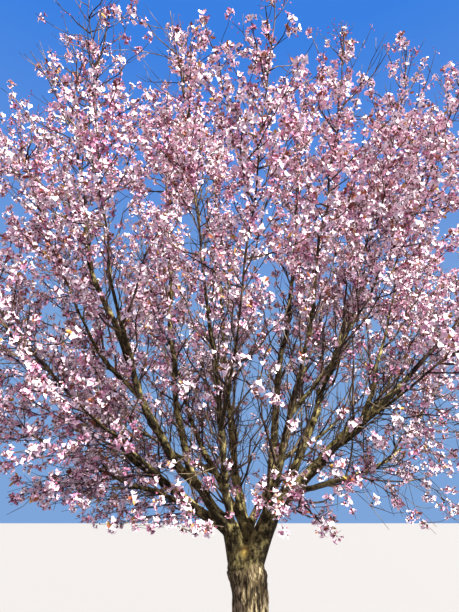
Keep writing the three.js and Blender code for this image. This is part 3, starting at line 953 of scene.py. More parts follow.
def add_mesh(name, vertices, faces, materials, face_materials=None, smooth=False):
    """A mesh object at the origin from arrays of points and triangles."""
    mesh = bpy.data.meshes.new(name)
    mesh.vertices.add(len(vertices))
    mesh.vertices.foreach_set("co", np.asarray(vertices, np.float32).ravel())
    mesh.loops.add(faces.size)
    mesh.loops.foreach_set("vertex_index", faces.astype(np.int32).ravel())
    mesh.polygons.add(len(faces))
    mesh.polygons.foreach_set("loop_start", np.arange(0, faces.size, 3, dtype=np.int32))
    for material in materials:
        mesh.materials.append(material)
    if face_materials is not None:
        mesh.polygons.foreach_set("material_index", face_materials.astype(np.int32))
    mesh.update(calc_edges=True)
    mesh.polygons.foreach_set("use_smooth", np.full(len(faces), smooth))
    piece = bpy.data.objects.new(name, mesh)
    bpy.context.scene.collection.objects.link(piece)
    return piece


def vertices_of(piece):
    flat = np.empty(len(piece.data.vertices) * 3, np.float32)
    piece.data.vertices.foreach_get("co", flat)
    return flat.reshape(-1, 3).astype(float)


def move_vertices(piece, vertices):
    piece.data.vertices.foreach_set("co", np.asarray(vertices, np.float32).ravel())
    piece.data.update()


def triangles_of(piece):
    piece.data.calc_loop_triangles()
    flat = np.empty(len(piece.data.loop_triangles) * 3, np.int32)
    piece.data.loop_triangles.foreach_get("vertices", flat)
    return flat.reshape(-1, 3)


def select_only(*pieces):
    """Selects these pieces alone, or nothing, and makes the first one active."""
    bpy.ops.object.select_all(action="DESELECT")
    for piece in pieces:
        piece.select_set(True)
    if pieces:
        bpy.context.view_layer.objects.active = pieces[0]


def joined(pieces, name):
    select_only(*pieces)
    bpy.ops.object.join()
    pieces[0].name = name
    return pieces[0]


def apply_modifier(piece, kind, **settings):
    select_only(piece)
    modifier = piece.modifiers.new(kind.title(), kind)
    for setting, value in settings.items():
        setattr(modifier, setting, value)
    bpy.ops.object.modifier_apply(modifier=modifier.name)


def ringed_bar(name, sides, rings):
    """A capped cylinder of radius 1 from z 0 to 1, cut into rings along its length."""
    select_only()
    bpy.ops.mesh.primitive_cylinder_add(
        vertices=sides, radius=1, depth=1, end_fill_type="TRIFAN", location=(0, 0, 0)
    )
    bar = bpy.context.object
    bar.name = name
    mesh = bar.data
    ends = np.empty(len(mesh.edges) * 2, np.int32)
    mesh.edges.foreach_get("vertices", ends)
    heights = vertices_of(bar)[:, 2][ends.reshape(-1, 2)]
    bpy.ops.object.mode_set(mode="EDIT")
    bpy.ops.mesh.select_mode(type="EDGE")
    bpy.ops.mesh.select_all(action="DESELECT")
    bpy.ops.object.mode_set(mode="OBJECT")
    mesh.edges.foreach_set("select", np.abs(heights[:, 0] - heights[:, 1]) > 0.5)
    bpy.ops.object.mode_set(mode="EDIT")
    bpy.ops.mesh.subdivide_edgering(number_cuts=rings - 1, interpolation="LINEAR")
    bpy.ops.object.mode_set(mode="OBJECT")
    vertices = vertices_of(bar)
    vertices[:, 2] += 0.5
    move_vertices(bar, vertices)
    return bar


def round_places(vertices):
    """Angle, share of the height and distance from the axis on a ringed bar."""
    angle = np.arctan2(vertices[:, 1], vertices[:, 0])
    return angle, np.clip(vertices[:, 2], 0, 1), np.minimum(np.hypot(vertices[:, 0], vertices[:, 1]), 1)


def rough(places, stretch):
    """Smooth fixed noise from -1 to 1 at places that are stretched first."""
    return np.array([noise.noise(Vector(place)) for place in places * np.array(stretch)])


def limb_frames(limb, rings, last=1.0):
    """Centre and three axes of each ring along the first part of a limb."""
    centres = limb.bent(np.linspace(0, last, rings + 1))
    ahead = unit(np.gradient(centres, axis=0))
    side = unit(np.cross(ahead[0], UP + 0.01))
    sides = []
    for way in ahead:
        side = unit(side - way * np.dot(side, way))
        sides.append(side)
    sides = np.array(sides)
    return centres, sides, np.cross(ahead, sides), ahead


def grain_of(limb, across, over, along):
    """Places for a bark pattern that runs along a limb."""
    return np.stack((across, over, along), axis=-1) + GRAIN_OFFSET * limb.number


def bent_limb(limb, sides, spacing, relief, last=1.0, spare=(0, 0)):
    """A limb's own mesh with bark relief; its grain attribute runs along the limb."""
    rings = int(limb.path.length * last / spacing)
    bar = ringed_bar(f"limb_{limb.name}", sides, rings)
    angle, share, across = round_places(vertices_of(bar))
    ring = np.rint(share * rings).astype(int)
    centres, side, over, _ = limb_frames(limb, rings, last)
    radius = limb.radius_at(share * last) + spare[0] + (spare[1] - spare[0]) * share
    along = share * last * limb.path.length
    grain = grain_of(limb, radius * np.cos(angle), radius * np.sin(angle), along)
    if relief:
        lumps = rough(grain, LUMPS) * LUMP_SHARE * radius
        ridges = rough(grain, RIDGES) * relief
        cracks = -np.abs(rough(grain + CRACK_SHIFT, CRACKS)) * relief
        radius = radius + lumps + ridges + cracks
    radius = radius * across
    spots = centres[ring]
    spots = spots + side[ring] * (radius * np.cos(angle))[:, None]
    spots = spots + over[ring] * (radius * np.sin(angle))[:, None]
    move_vertices(bar, spots)
    if relief:
        write_grain(bar, grain)
    return bar


def write_grain(piece, grain):
    attribute = piece.data.attributes.new("grain", "FLOAT_VECTOR", "POINT")
    attribute.data.foreach_set("vector", grain.astype(np.float32).ravel())


def bundle(twigs, keep, sides):
    """Vertices and triangles of the kept twigs, as thin bars closed at both ends."""
    lines, radii = twigs.lines[keep], twigs.radii[keep]
    count, points = lines.shape[:2]
    ahead = unit(lines[:, -1] - lines[:, 0])
    side = level_side(ahead)
    over = np.cross(ahead, side)
    angles = (np.arange(sides) * 2 * math.pi / sides)[None, :, None]
    around = side[:, None] * np.cos(angles) + over[:, None] * np.sin(angles)
    vertices = lines[:, :, None] + around[:, None] * radii[:, :, None, None]
    quads = []
    for ring in range(points - 1):
        for corner in range(sides):
            a, b = ring * sides + corner, ring * sides + (corner + 1) % sides
            quads += [(a, b, b + sides), (a, b + sides, a + sides)]
    caps = [(0, corner + 1, corner) for corner in range(1, sides - 1)]
    top = (points - 1) * sides
    caps += [(top, top + corner, top + corner + 1) for corner in range(1, sides - 1)]
    pattern = np.array(quads + caps)
    faces = pattern[None] + (np.arange(count) * points * sides)[:, None, None]
    return vertices.reshape(-1, 3), faces.reshape(-1, 3)


def stacked(parts):
    """Several pairs of vertices and triangles as one pair."""
    vertices, faces, first = [], [], 0
    for part_vertices, part_faces in parts:
        vertices.append(part_vertices)
        faces.append(part_faces + first)
        first += len(part_vertices)
    return np.concatenate(vertices), np.concatenate(faces)


# Blossom prototypes, modelled once and copied by the thousand

# Face kinds. Inner and half-open petals, and the petals in painted shade, take one tint deeper.
PETAL, INNER_AND_PAINTED_SHADE_PETAL, HEART, BUD = range(4)
PETALS = 5
# Painted shade: these two petals of each cup are one tint deeper.
PAINTED_SHADE_PETALS = (1, 3)
FLOWERS_PER_CLUSTER = 6
BUDS_PER_CLUSTER = 3
CLUSTER_KINDS = 6
BUD_CLUSTER_KINDS = 2
CLUSTER_SEED = 900
CLUSTER_OPENING = 1.5
CLUSTER_TURN_PLAY = 0.4
FACING_PLAY = 0.3
FACING_TURN = 6.28
FLOWER_PLAY = (0.88, 1.1)
STALK_PLAY = (0.75, 1.25)
STALK_LENGTH = 0.027
STALK_WIDTH = 0.004
STALK_REACH = 0.3
STALK_ASIDE = np.array((0.3, 0.9, 0.2))
FRAME_ASIDE = np.array((0.31, 0.17, 0.93))
LEAF_HALF_WIDTH = 0.24
LEAF_FOLD = 0.35
LEAF_CURL = 0.06


def taken(piece):
    """A prototype's arrays; its object is removed."""
    arrays = vertices_of(piece), triangles_of(piece)
    bpy.data.objects.remove(piece)
    return arrays


def petal_cup(steps, rim, gap, height, gap_height, turn=0.0):
    """A lobed cup from a filled circle, whose rim is drawn in between the petals.

    Each petal takes one or two steps of the rim, the first of them the gap before it.
    """
    bpy.ops.mesh.primitive_circle_add(vertices=PETALS * steps, radius=1, fill_type="TRIFAN")
    cup = bpy.context.object
    vertices = vertices_of(cup)
    angle = np.arctan2(vertices[:, 1], vertices[:, 0])
    step = np.rint(angle / (2 * math.pi) * PETALS * steps).astype(int) % steps
    outside = np.hypot(vertices[:, 0], vertices[:, 1]) > 0.5
    between = outside & (step == 0)
    radius = np.where(between, gap, rim) * outside
    angle = angle + turn
    lift = np.where(between, gap_height, height) * outside
    move_vertices(cup, np.stack((radius * np.cos(angle), radius * np.sin(angle), lift), axis=1))
    return taken(cup)


def small_cone(radius, low, high):
    """A three-sided cone without its base, low at the base and high at the point."""
    bpy.ops.mesh.primitive_cone_add(
        vertices=3, radius1=radius, radius2=0, depth=1, end_fill_type="NOTHING"
    )
    cone = bpy.context.object
    vertices = vertices_of(cone)
    vertices[:, 2] = low + (high - low) * (vertices[:, 2] + 0.5)
    move_vertices(cone, vertices)
    vertices, faces = taken(cone)
    return vertices, faces if high > low else faces[:, ::-1]


def parts_with_kind(parts):
    vertices, faces = stacked([part[:2] for part in parts])
    kinds = np.concatenate([np.broadcast_to(part[2], len(part[1])) for part in parts])
    return vertices, faces, kinds


def two_in_painted_shade(vertices, faces):
    """Two of a cup's petals are a shade deeper than the rest: painted shade, standing in for light that
    falls differently on them.
    """
    middles = vertices[faces].mean(axis=1)
    angle = np.arctan2(middles[:, 1], middles[:, 0])
    petal = np.floor(angle / (2 * math.pi / PETALS)).astype(int) % PETALS
    return vertices, faces, np.where(np.isin(petal, PAINTED_SHADE_PETALS), INNER_AND_PAINTED_SHADE_PETAL, PETAL)


@cache
def flower_shapes():
    """Open flowers, a half-open one and a bud, of radius 1, facing up, and the calyx under them."""
    select_only()
    calyx = small_cone(0.34, low=0.02, high=-0.62)
    full = parts_with_kind([
        two_in_painted_shade(*petal_cup(2, rim=1.0, gap=0.56, height=0.3, gap_height=0.1)),
        (*small_cone(0.22, low=0.1, high=0.42), HEART),
    ])
    double = parts_with_kind([
        two_in_painted_shade(*petal_cup(2, rim=1.0, gap=0.6, height=0.3, gap_height=0.1)),
        (*petal_cup(1, rim=0.0, gap=0.6, height=0.0, gap_height=0.45, turn=0.6), INNER_AND_PAINTED_SHADE_PETAL),
    ])
    half = parts_with_kind([
        (*petal_cup(2, rim=0.6, gap=0.36, height=0.72, gap_height=0.42), INNER_AND_PAINTED_SHADE_PETAL),
    ])
    closed = parts_with_kind([
        (*small_cone(0.24, low=0.12, high=0.6), BUD),
        (*small_cone(0.24, low=0.12, high=-0.14), BUD),
    ])
    return {"full": full, "double": double, "half": half, "closed": closed}, calyx


def frame_facing(facing, turn):
    """Rotation matrices whose third column is the facing, one for each row."""
    side = unit(np.cross(facing, FRAME_ASIDE) + 1e-6)
    side = turned(side, facing, turn)
    return np.stack((side, np.cross(facing, side), facing), axis=-1)


def cluster_shape(kind, flower_radius):
    """One cluster: flowers, half-open flowers and buds on stalks from one point, or buds alone."""
    rng = np.random.default_rng(CLUSTER_SEED + kind)
    shapes, calyx = flower_shapes()
    names = ["full", "double", "full", "half" if kind % 2 else "double", "full", "closed"]
    if kind >= CLUSTER_KINDS:
        names = ["closed"] * BUDS_PER_CLUSTER
    blooms, kinds, flowers, stalks = [], [], [], []
    for index, name in enumerate(names):
        tilt = math.acos(1 - CLUSTER_OPENING * (index + 0.5) / len(names))
        turn = GOLDEN_ANGLE * index + rng.uniform(-CLUSTER_TURN_PLAY, CLUSTER_TURN_PLAY)
        out = math.sin(tilt)
        way = np.array((out * math.cos(turn), out * math.sin(turn), math.cos(tilt)))
        spot = way * STALK_LENGTH * rng.uniform(*STALK_PLAY)
        facing = unit(way + rng.normal(0, FACING_PLAY, 3))
        matrix = frame_facing(facing[None], np.array([rng.uniform(0, FACING_TURN)]))[0]
        vertices, faces, face_kinds = shapes[name]
        size = flower_radius * rng.uniform(*FLOWER_PLAY)
        blooms.append((vertices * size @ matrix.T + spot, faces))
        kinds.append(face_kinds)
        flowers.append(np.full(len(faces), index))
        if name != "closed":
            stalks.append((calyx[0] * size @ matrix.T + spot, calyx[1]))
        end = spot - facing * size * STALK_REACH
        side = unit(np.cross(way, STALK_ASIDE)) * STALK_WIDTH / 2
        stalks.append((np.vstack((-side, side, end)), np.array(((0, 1, 2),))))
    vertices, faces = stacked(blooms)
    return {
        "blooms": (vertices, faces),
        "kinds": np.concatenate(kinds),
        "flowers": np.concatenate(flowers),
        "stalks": stacked(stalks),
    }


def leaf_shape():
    """A young leaf folded along its midrib, of length 1 along +Z."""
    select_only()
    bpy.ops.mesh.primitive_circle_add(vertices=6, radius=1, fill_type="TRIFAN")
    leaf = bpy.context.object
    vertices = vertices_of(leaf)
    outline = np.zeros_like(vertices)
    outline[:, 2] = 0.5 + 0.5 * vertices[:, 1]
    outline[:, 0] = LEAF_HALF_WIDTH * vertices[:, 0]
    outline[:, 1] = LEAF_FOLD * np.abs(outline[:, 0]) + LEAF_CURL * outline[:, 2] ** 2
    move_vertices(leaf, outline)
    return taken(leaf)


def copies(vertices, faces, matrices, scales, spots):
    """The same small mesh at many places."""
    placed = np.einsum("nij,vj->nvi", matrices, vertices) * scales[:, None, None] + spots[:, None]
    numbered = faces[None] + (np.arange(len(spots)) * len(vertices))[:, None, None]
    return placed.reshape(-1, 3), numbered.reshape(-1, 3)


# Finishes

# How often each noise of the bark repeats in a metre, across and along.
PATCH_GRAIN = (26, 26, 17)
STREAK_GRAIN = (75, 75, 28)
MARK_GRAIN = (20, 20, 110)
FURROW_GRAIN = (66, 66, 15)
PLATE_GRAIN = (14, 14, 9)
TWIG_GRAIN = (9, 9, 9)

# Values between which one colour gives way to the next.
LIT_EDGE = (0.35, 0.8)
STREAK_EDGE = (0.48, 0.62)
CLEFT_EDGE = (0.46, 0.34)
MARK_EDGE = (0.62, 0.72)
FURROW_EDGE = (0.4, 0.52)
CREST_EDGE = (0.48, 0.62)
PLATE_EDGE = (0.34, 0.6)
TWIG_EDGE = (0.42, 0.66)

# How strong each layer is.
# Painted light: how much facing upward counts towards the lit olive colour.
SLOPE_SHARE = 0.35
PATCH_SHARE = 2.4
STREAK_SHARE = 0.9
CLEFT_SHARE = 0.8
MARK_SHARE = 0.6
# Painted shade: how far the trunk's head above the graft is darkened, as if under the crown.
HEAD_SHADE = 0.35
# Painted light: the least strength of the sunlit patch below the fork.
SUNLIT_PATCH_LEAST = 0.6
# Painted highlight: how much the pale streaks show on the lit and on the unlit bark.
STREAK_LIT = 0.8
STREAK_UNLIT = 0.1
BOUGH_BUMP = 0.007
TRUNK_BUMP = 0.006


class Wire:
    """A number or colour that varies over a surface; operators on it add Math nodes."""

    def __init__(self, finish, socket):
        self.finish = finish
        self.socket = socket

    def _math(self, operation, first, second):
        return self.finish.node("ShaderNodeMath", {"operation": operation}, {0: first, 1: second})

    def __add__(self, other):
        return self._math("ADD", self, other)

    def __radd__(self, other):
        return self._math("ADD", other, self)

    def __sub__(self, other):
        return self._math("SUBTRACT", self, other)

    def __rsub__(self, other):
        return self._math("SUBTRACT", other, self)

    def __mul__(self, other):
        return self._math("MULTIPLY", self, other)

    def clamped(self):
        return self.finish.node("ShaderNodeClamp", {}, {"Value": self})

    def ramped(self, low, high):
        """0 below low and 1 above high, smooth between."""
        settings = {"interpolation_type": "SMOOTHSTEP"}
        return self.finish.node("ShaderNodeMapRange", settings, {0: self, 1: low, 2: high})


class Finish:
    """One material and the few kinds of node that it is built from."""

    def __init__(self, name, **constants):
        self.material = bpy.data.materials.new(name)
        self.material.use_nodes = True
        self.tree = self.material.node_tree
        self.surface = self.tree.nodes["Principled BSDF"]
        for socket, value in constants.items():
            self.surface.inputs[socket.replace("_", " ")].default_value = value

    def feed(self, socket, value):
        if isinstance(value, Wire):
            self.tree.links.new(value.socket, socket)
        else:
            socket.default_value = value

    def node(self, kind, settings, values, output=0):
        made = self.tree.nodes.new(kind)
        for setting, value in settings.items():
            setattr(made, setting, value)
        for key, value in values.items():
            self.feed(made.inputs[key], value)
        return Wire(self, made.outputs[output])

    def set(self, socket, value):
        self.feed(self.surface.inputs[socket], value)

    def grain(self):
        return self.node("ShaderNodeAttribute", {"attribute_name": "grain"}, {}, "Vector")

    def attribute(self, name):
        return self.node("ShaderNodeAttribute", {"attribute_name": name}, {}, "Fac")

    def place(self):
        return self.node("ShaderNodeTexCoord", {}, {}, "Object")

    def upward(self):
        normal = self.node("ShaderNodeNewGeometry", {}, {}, "Normal")
        return self.node("ShaderNodeSeparateXYZ", {}, {"Vector": normal}, "Z")

    def spots(self, place, stretch, detail=3.0, roughness=0.55):
        """Noise from 0 to 1 over stretched places."""
        stretched = self.node("ShaderNodeMapping", {}, {"Vector": place, "Scale": stretch})
        values = {"Vector": stretched, "Scale": 1.0, "Detail": detail, "Roughness": roughness}
        return self.node("ShaderNodeTexNoise", {}, values)

    def mix(self, share, first, second):
        values = {0: share, 6: first, 7: second}
        return self.node("ShaderNodeMix", {"data_type": "RGBA"}, values, 2)

    def bump(self, height, distance):
        values = {"Strength": 1.0, "Distance": distance, "Height": height}
        self.set("Normal", self.node("ShaderNodeBump", {}, values))


def opaque(colour):
    return (*colour, 1.0)


def bark_layers(finish, bark, streaks, marks):
    """Dark bark with lit olive patches, most of them on top, pale streaks and short cross marks. The
    olive comes in random patches, but where it lies on top it is painted light. The near-black
    underside is painted shade. The pale streaks are a painted highlight that shows mostly on the lit
    bark, and the clefts take the painted shade colour.
    """
    patches = finish.spots(finish.place(), PATCH_GRAIN, detail=6, roughness=0.68)
    # Painted light and shade: upward faces lean to the lit olive colour and the rest to the near-black
    # shade colour, broken up by random patches.
    lit = (finish.upward() * SLOPE_SHARE + 0.5 + (patches - 0.5) * PATCH_SHARE).ramped(*LIT_EDGE)
    colour = finish.mix(lit, opaque(bark.shade_colour), opaque(bark.algae_and_painted_light_colour))
    streak = streaks.ramped(*STREAK_EDGE) * STREAK_SHARE
    # Painted highlight: the pale streaks show mostly where the bark is lit.
    pale = (streak * (lit * STREAK_LIT + STREAK_UNLIT)).clamped()
    colour = finish.mix(pale, colour, opaque(bark.streak_and_painted_highlight_colour))
    # Painted shade: the clefts between the streaks take the near-black shade colour.
    cleft = streaks.ramped(*CLEFT_EDGE) * CLEFT_SHARE
    colour = finish.mix(cleft, colour, opaque(bark.shade_colour))
    mark = marks.ramped(*MARK_EDGE) * MARK_SHARE
    return finish.mix(mark, colour, opaque(bark.lenticel_colour)), patches


def bark_noises(finish, place):
    streaks = finish.spots(place, STREAK_GRAIN, detail=6, roughness=0.66)
    marks = finish.spots(place, MARK_GRAIN, detail=2)
    return streaks, marks


def bough_finish(bark):
    finish = Finish("bough_bark", Roughness=0.82, Specular_IOR_Level=0.2)
    streaks, marks = bark_noises(finish, finish.grain())
    colour, patches = bark_layers(finish, bark, streaks, marks)
    finish.set("Base Color", colour)
    finish.set("Roughness", 0.7 + patches * 0.25)
    finish.bump(streaks + patches * 0.5, BOUGH_BUMP)
    return finish.material


def trunk_finish(bark):
    """Olive bark above the graft and furrowed pale bark below it, which meet without a seam. The head
    is darkened by painted shade and carries a painted sunlit patch below the fork, and the furrows'
    near-black bottoms are partly painted shade.
    """
    finish = Finish("trunk_bark", Roughness=0.88, Specular_IOR_Level=0.2)
    head = finish.attribute("head")
    below = bark_noises(finish, finish.place())
    along = bark_noises(finish, finish.grain())
    streaks, marks = (low + (high - low) * head for low, high in zip(below, along))
    smooth_colour, patches = bark_layers(finish, bark, streaks, marks)
    # Painted shade: the head is darkened all over, as if in the crown's shadow.
    smooth_colour = finish.mix(HEAD_SHADE, smooth_colour, opaque(bark.shade_colour))
    # Painted light: a sunlit patch on the front of the head below the fork, broken up by the patches.
    painted_sunlit_patch = (finish.attribute("pale") * (SUNLIT_PATCH_LEAST + patches)).clamped()
    smooth_colour = finish.mix(painted_sunlit_patch, smooth_colour, opaque(bark.painted_sunlit_patch_colour))
    furrows = finish.spots(finish.place(), FURROW_GRAIN, detail=7, roughness=0.68)
    plates = finish.spots(finish.place(), PLATE_GRAIN, detail=4)
    # The furrows' near-black bottoms are partly bark colour and partly painted shade.
    furrow = furrows.ramped(*FURROW_EDGE)
    colour = finish.mix(furrow, opaque(bark.furrow_and_painted_shade_colour), opaque(bark.stock_colour))
    crest = (furrows.ramped(*CREST_EDGE) * plates.ramped(*PLATE_EDGE)).clamped()
    colour = finish.mix(crest, colour, opaque(bark.plate_colour))
    stock = finish.attribute("stock")
    finish.set("Base Color", finish.mix(stock, smooth_colour, colour))
    finish.set("Roughness", 0.78 + furrows * 0.2)
    finish.bump(furrows * stock + streaks * 0.6 * (1 - stock) + plates * 0.3, TRUNK_BUMP)
    return finish.material


def twig_finish(bark):
    finish = Finish("twig_bark", Roughness=0.7, Specular_IOR_Level=0.25)
    tone = finish.spots(finish.place(), TWIG_GRAIN, detail=2)
    light = tone.ramped(*TWIG_EDGE)
    colour = finish.mix(light, opaque(bark.twig_colour), opaque(bark.twig_tip_colour))
    finish.set("Base Color", colour)
    return finish.material


def plain_finish(name, colour, roughness, **constants):
    finish = Finish(name, Roughness=roughness, **constants)
    finish.set("Base Color", opaque(colour))
    return finish.material


# Settings


def colour_setting(name, description, default):
    return FloatVectorProperty(
        name=name, description=description, default=default, subtype="COLOR", size=3, min=0, max=1
    )


def length_setting(name, description, default):
    return FloatProperty(
        name=name, description=description, default=default, unit="LENGTH", min=0, precision=4
    )


class BarkSettings(PropertyGroup):
    voxel: length_setting("Voxel", "Size of the cells that fuse the trunk and its fork", 0.0065)
    trunk_relief: length_setting("Trunk relief", "Depth of the furrows below the graft", 0.009)
    head_relief: length_setting("Head relief", "Depth of the lumps above the graft", 0.0035)
    bough_relief: length_setting("Bough relief", "Depth of the ridges on a bough", 0.0022)
    ring_spacing: length_setting("Ring spacing", "Distance between the rings of a bough", 0.014)
    # Bottom of the furrows, near black: partly painted shade.
    furrow_and_painted_shade_colour: colour_setting("Furrow", "Bottom of the furrows", (0.008, 0.005, 0.002))
    stock_colour: colour_setting("Stock", "Bark below the graft", (0.075, 0.053, 0.022))
    plate_colour: colour_setting("Plate", "Pale plates below the graft", (0.4, 0.33, 0.19))
    # Painted shade: the near-black colour of a bough's underside and clefts, also laid over the trunk's
    # head.
    shade_colour: colour_setting("Shade", "Underside of a bough", (0.012, 0.008, 0.0025))
    # Olive bark whose lighter tops are painted light.
    algae_and_painted_light_colour: colour_setting("Algae", "Lit top of a bough", (0.25, 0.21, 0.075))
    # Pale streaks, which show mostly on the lit bark as a painted highlight.
    streak_and_painted_highlight_colour: colour_setting("Streak", "Pale streaks along a bough", (0.42, 0.35, 0.15))
    lenticel_colour: colour_setting("Lenticel", "Short pale marks across a bough", (0.24, 0.19, 0.1))
    # Painted light: a sunlit patch below the fork.
    painted_sunlit_patch_colour: colour_setting("Patch", "Yellow patch below the fork", (0.5, 0.35, 0.08))
    twig_colour: colour_setting("Twig", "Dark bark of the twigs", (0.02, 0.011, 0.012))
    twig_tip_colour: colour_setting("Twig tip", "Paler bark of the twigs", (0.2, 0.145, 0.08))


class BlossomSettings(PropertyGroup):
    flower_radius: length_setting("Flower radius", "Half the width of an open flower", 0.023)
    leaf_length: length_setting("Leaf length", "Length of a young leaf", 0.045)
    petal_palest: colour_setting("Palest petal", "Almost white petals", (0.97, 0.89, 0.92))
    petal_pale: colour_setting("Pale petal", "Pale pink petals", (0.95, 0.79, 0.86))
    petal_pink: colour_setting("Pink petal", "Pink petals", (0.92, 0.65, 0.76))
    petal_rose: colour_setting("Rose petal", "Rose petals", (0.76, 0.42, 0.55))
    petal_mauve: colour_setting("Mauve petal", "The deepest petals", (0.48, 0.2, 0.33))
    heart_colour: colour_setting("Heart", "Filaments at the flower's heart", (0.32, 0.045, 0.09))
    bud_colour: colour_setting("Bud", "Closed buds", (0.42, 0.08, 0.15))
    calyx_colour: colour_setting("Calyx", "Calyx and stalk", (0.085, 0.014, 0.015))
    leaf_bronze: colour_setting("Bronze leaf", "Young bronze leaves", (0.3, 0.085, 0.028))
    leaf_red: colour_setting("Red leaf", "Young red leaves", (0.18, 0.027, 0.016))
    leaf_olive: colour_setting("Olive leaf", "Young olive leaves", (0.5, 0.27, 0.04))


class StageSettings(PropertyGroup):
    floor_colour: colour_setting("Floor", "Pale floor", (0.22, 0.22, 0.215))
    soft_colour: colour_setting("Surroundings", "Plain soft light from all round", (0.8, 0.71, 0.87))
    backdrop_low: colour_setting("Low backdrop", "Plain backdrop near the floor", (0.21, 0.38, 0.7))
    backdrop_high: colour_setting("High backdrop", "Plain backdrop overhead", (0.045, 0.22, 0.76))
    soft_strength: FloatProperty(name="Soft light", description="Light from all round", default=0.62)
    key_strength: FloatProperty(name="Key light", description="The main light", default=16.0)


# Operators


class TrunkOperator(Operator):
    """Make the trunk with its root flare, graft, fork and bark relief"""

    bl_idname = "cherry.trunk"
    bl_label = "Trunk"

    stub_length = 0.3
    spare = (0.004, -0.004)
    limb_sides = 24
    limb_spacing = 0.012
    frame_rings = 40
    below_ground = 0.04
    foot_height = 0.0005
    plain_foot = 0.02
    graft_height = 1.272
    graft_arch = 0.055
    graft_facing = math.radians(-68)
    graft_width = math.radians(38)
    graft_edge = 0.006
    grain_start = 1.42
    grain_run = 0.12
    ridge_stretch = (30, 30, 8)
    ridge_sharpness = 2.6
    ridge_share = 0.6
    flake_stretch = (60, 60, 20)
    flake_share = 0.5
    lump_stretch = (9, 9, 5)
    sunk = 0.35
    lip_drop = 0.022
    lip_width = 0.03
    lip_height = 0.005
    groove_width = 0.008
    groove_depth = 0.006
    stock_lump = 0.006
    head_flake_share = 0.7
    # Centre and reach of the painted sunlit patch on the front of the head.
    painted_sunlit_patch = np.array((-0.035, -0.11, 1.4))
    painted_sunlit_patch_reach = np.array((0.022, 0.05, 0.035))

    def bole(self):
        """The trunk up to its head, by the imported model's profile."""
        bole = ringed_bar("bole", TRUNK_SIDES, TRUNK_RINGS)
        angle, share, across = round_places(vertices_of(bole))
        levels, radii = np.array(TRUNK_PROFILE).T
        top = levels[-1]
        height = -self.below_ground + share * (top + self.below_ground)
        radius = np.interp(height, levels, radii)
        foot = np.exp(-np.maximum(height, 0) / ROOT_LOBE_HEIGHT)
        lobes = ROOT_LOBE_DEPTH * foot * np.cos(ROOT_LOBES * angle + ROOT_LOBE_TURN)
        furrows = FURROW_DEPTH * np.cos(FURROWS * angle + height / FURROW_RISE)
        radius = across * radius * (1 + lobes + furrows)
        widening = HEAD_WIDENING * np.clip((height - HEAD_START) / HEAD_RUN, 0, 1)
        shift = smooth_step((height - TRUNK_SHIFT_START) / (TRUNK_SHIFT_END - TRUNK_SHIFT_START))
        x = TRUNK_SHIFT[0] * shift + radius * (1 + widening) * np.cos(angle)
        y = TRUNK_SHIFT[1] * shift + radius * (1 - widening / 2) * np.sin(angle)
        move_vertices(bole, np.stack((x, y, height), axis=1))
        return bole

    def graft_line(self, spots):
        """Height of the graft round the trunk, arched up at the front right."""
        angle = np.arctan2(spots[:, 1], spots[:, 0])
        off = np.angle(np.exp(1j * (angle - self.graft_facing))) / self.graft_width
        return self.graft_height + self.graft_arch * np.exp(-off * off)

    def execute(self, context):
        bark = context.scene.cherry_bark
        plan = tree_plan()
        pieces = [self.bole()]
        carried = list(plan["stems"].values())
        carried += [plan["limbs"][row[0]] for row in BOUGHS if row[1] in HEAD_STEMS]
        for limb in carried:
            last = 1.0 if limb.name in HEAD_STEMS else self.stub_length / limb.path.length
            spare = (0, 0) if limb.name in HEAD_STEMS else self.spare
            pieces.append(bent_limb(limb, self.limb_sides, self.limb_spacing, 0, last, spare))
        trunk = joined(pieces, "trunk_bark")
        apply_modifier(trunk, "REMESH", mode="VOXEL", voxel_size=bark.voxel, use_smooth_shade=True)
        apply_modifier(trunk, "SMOOTH", factor=0.5, iterations=5)
        self.carve(trunk, carried, bark)
        self.cut_flat(trunk)
        trunk.data.materials.clear()
        trunk.data.materials.append(trunk_finish(bark))
        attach(trunk, "root")
        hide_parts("trunk")
        return {"FINISHED"}

    def grain_along(self, carried, spots, on_limb):
        """The grain of the trunk: the places themselves, and along the nearest limb where on_limb."""
        grain = spots.copy()
        shares = np.linspace(0, 1, self.frame_rings + 1)
        tree = kdtree.KDTree(len(shares) * len(carried))
        frames = []
        for limb in carried:
            frames += zip(*limb_frames(limb, self.frame_rings), [limb] * len(shares), shares)
        for index, row in enumerate(frames):
            tree.insert(row[0], index)
        tree.balance()
        for index in np.flatnonzero(on_limb):
            centre, side, over, ahead, limb, share = frames[tree.find(spots[index])[1]]
            away = spots[index] - centre
            along = share * limb.path.length + away @ ahead
            grain[index] = grain_of(limb, away @ side, away @ over, along)
        return grain

    def carve(self, trunk, carried, bark):
        """Moves the surface by its relief and writes the grain and the share of stock bark."""
        spots = vertices_of(trunk)
        head = smooth_step((spots[:, 2] - self.grain_start) / self.grain_run)
        grain = self.grain_along(carried, spots, head > 0)
        normals = np.empty(len(spots) * 3, np.float32)
        trunk.data.vertices.foreach_get("normal", normals)
        above = spots[:, 2] - self.graft_line(spots)
        stock = 1 / (1 + np.exp(np.clip(above / self.graft_edge, -30, 30)))
        ridges = 1 - np.abs(rough(spots, self.ridge_stretch)) * self.ridge_sharpness
        flakes = rough(spots + FLAKE_SHIFT, self.flake_stretch) * self.flake_share
        lumps = rough(spots + LUMP_SHIFT, self.lump_stretch)
        lip = np.exp(-((above + self.lip_drop) / self.lip_width) ** 2) * self.lip_height
        lip = lip - np.exp(-(above / self.groove_width) ** 2) * self.groove_depth
        depth = stock * bark.trunk_relief * (ridges * self.ridge_share + flakes - self.sunk)
        head_lumps = (1 - stock) * bark.head_relief * (lumps + flakes * self.head_flake_share)
        depth += head_lumps + lumps * stock * self.stock_lump + lip
        depth += rough(grain, RIDGES) * head * bark.bough_relief
        above_foot = spots[:, 2] > self.plain_foot
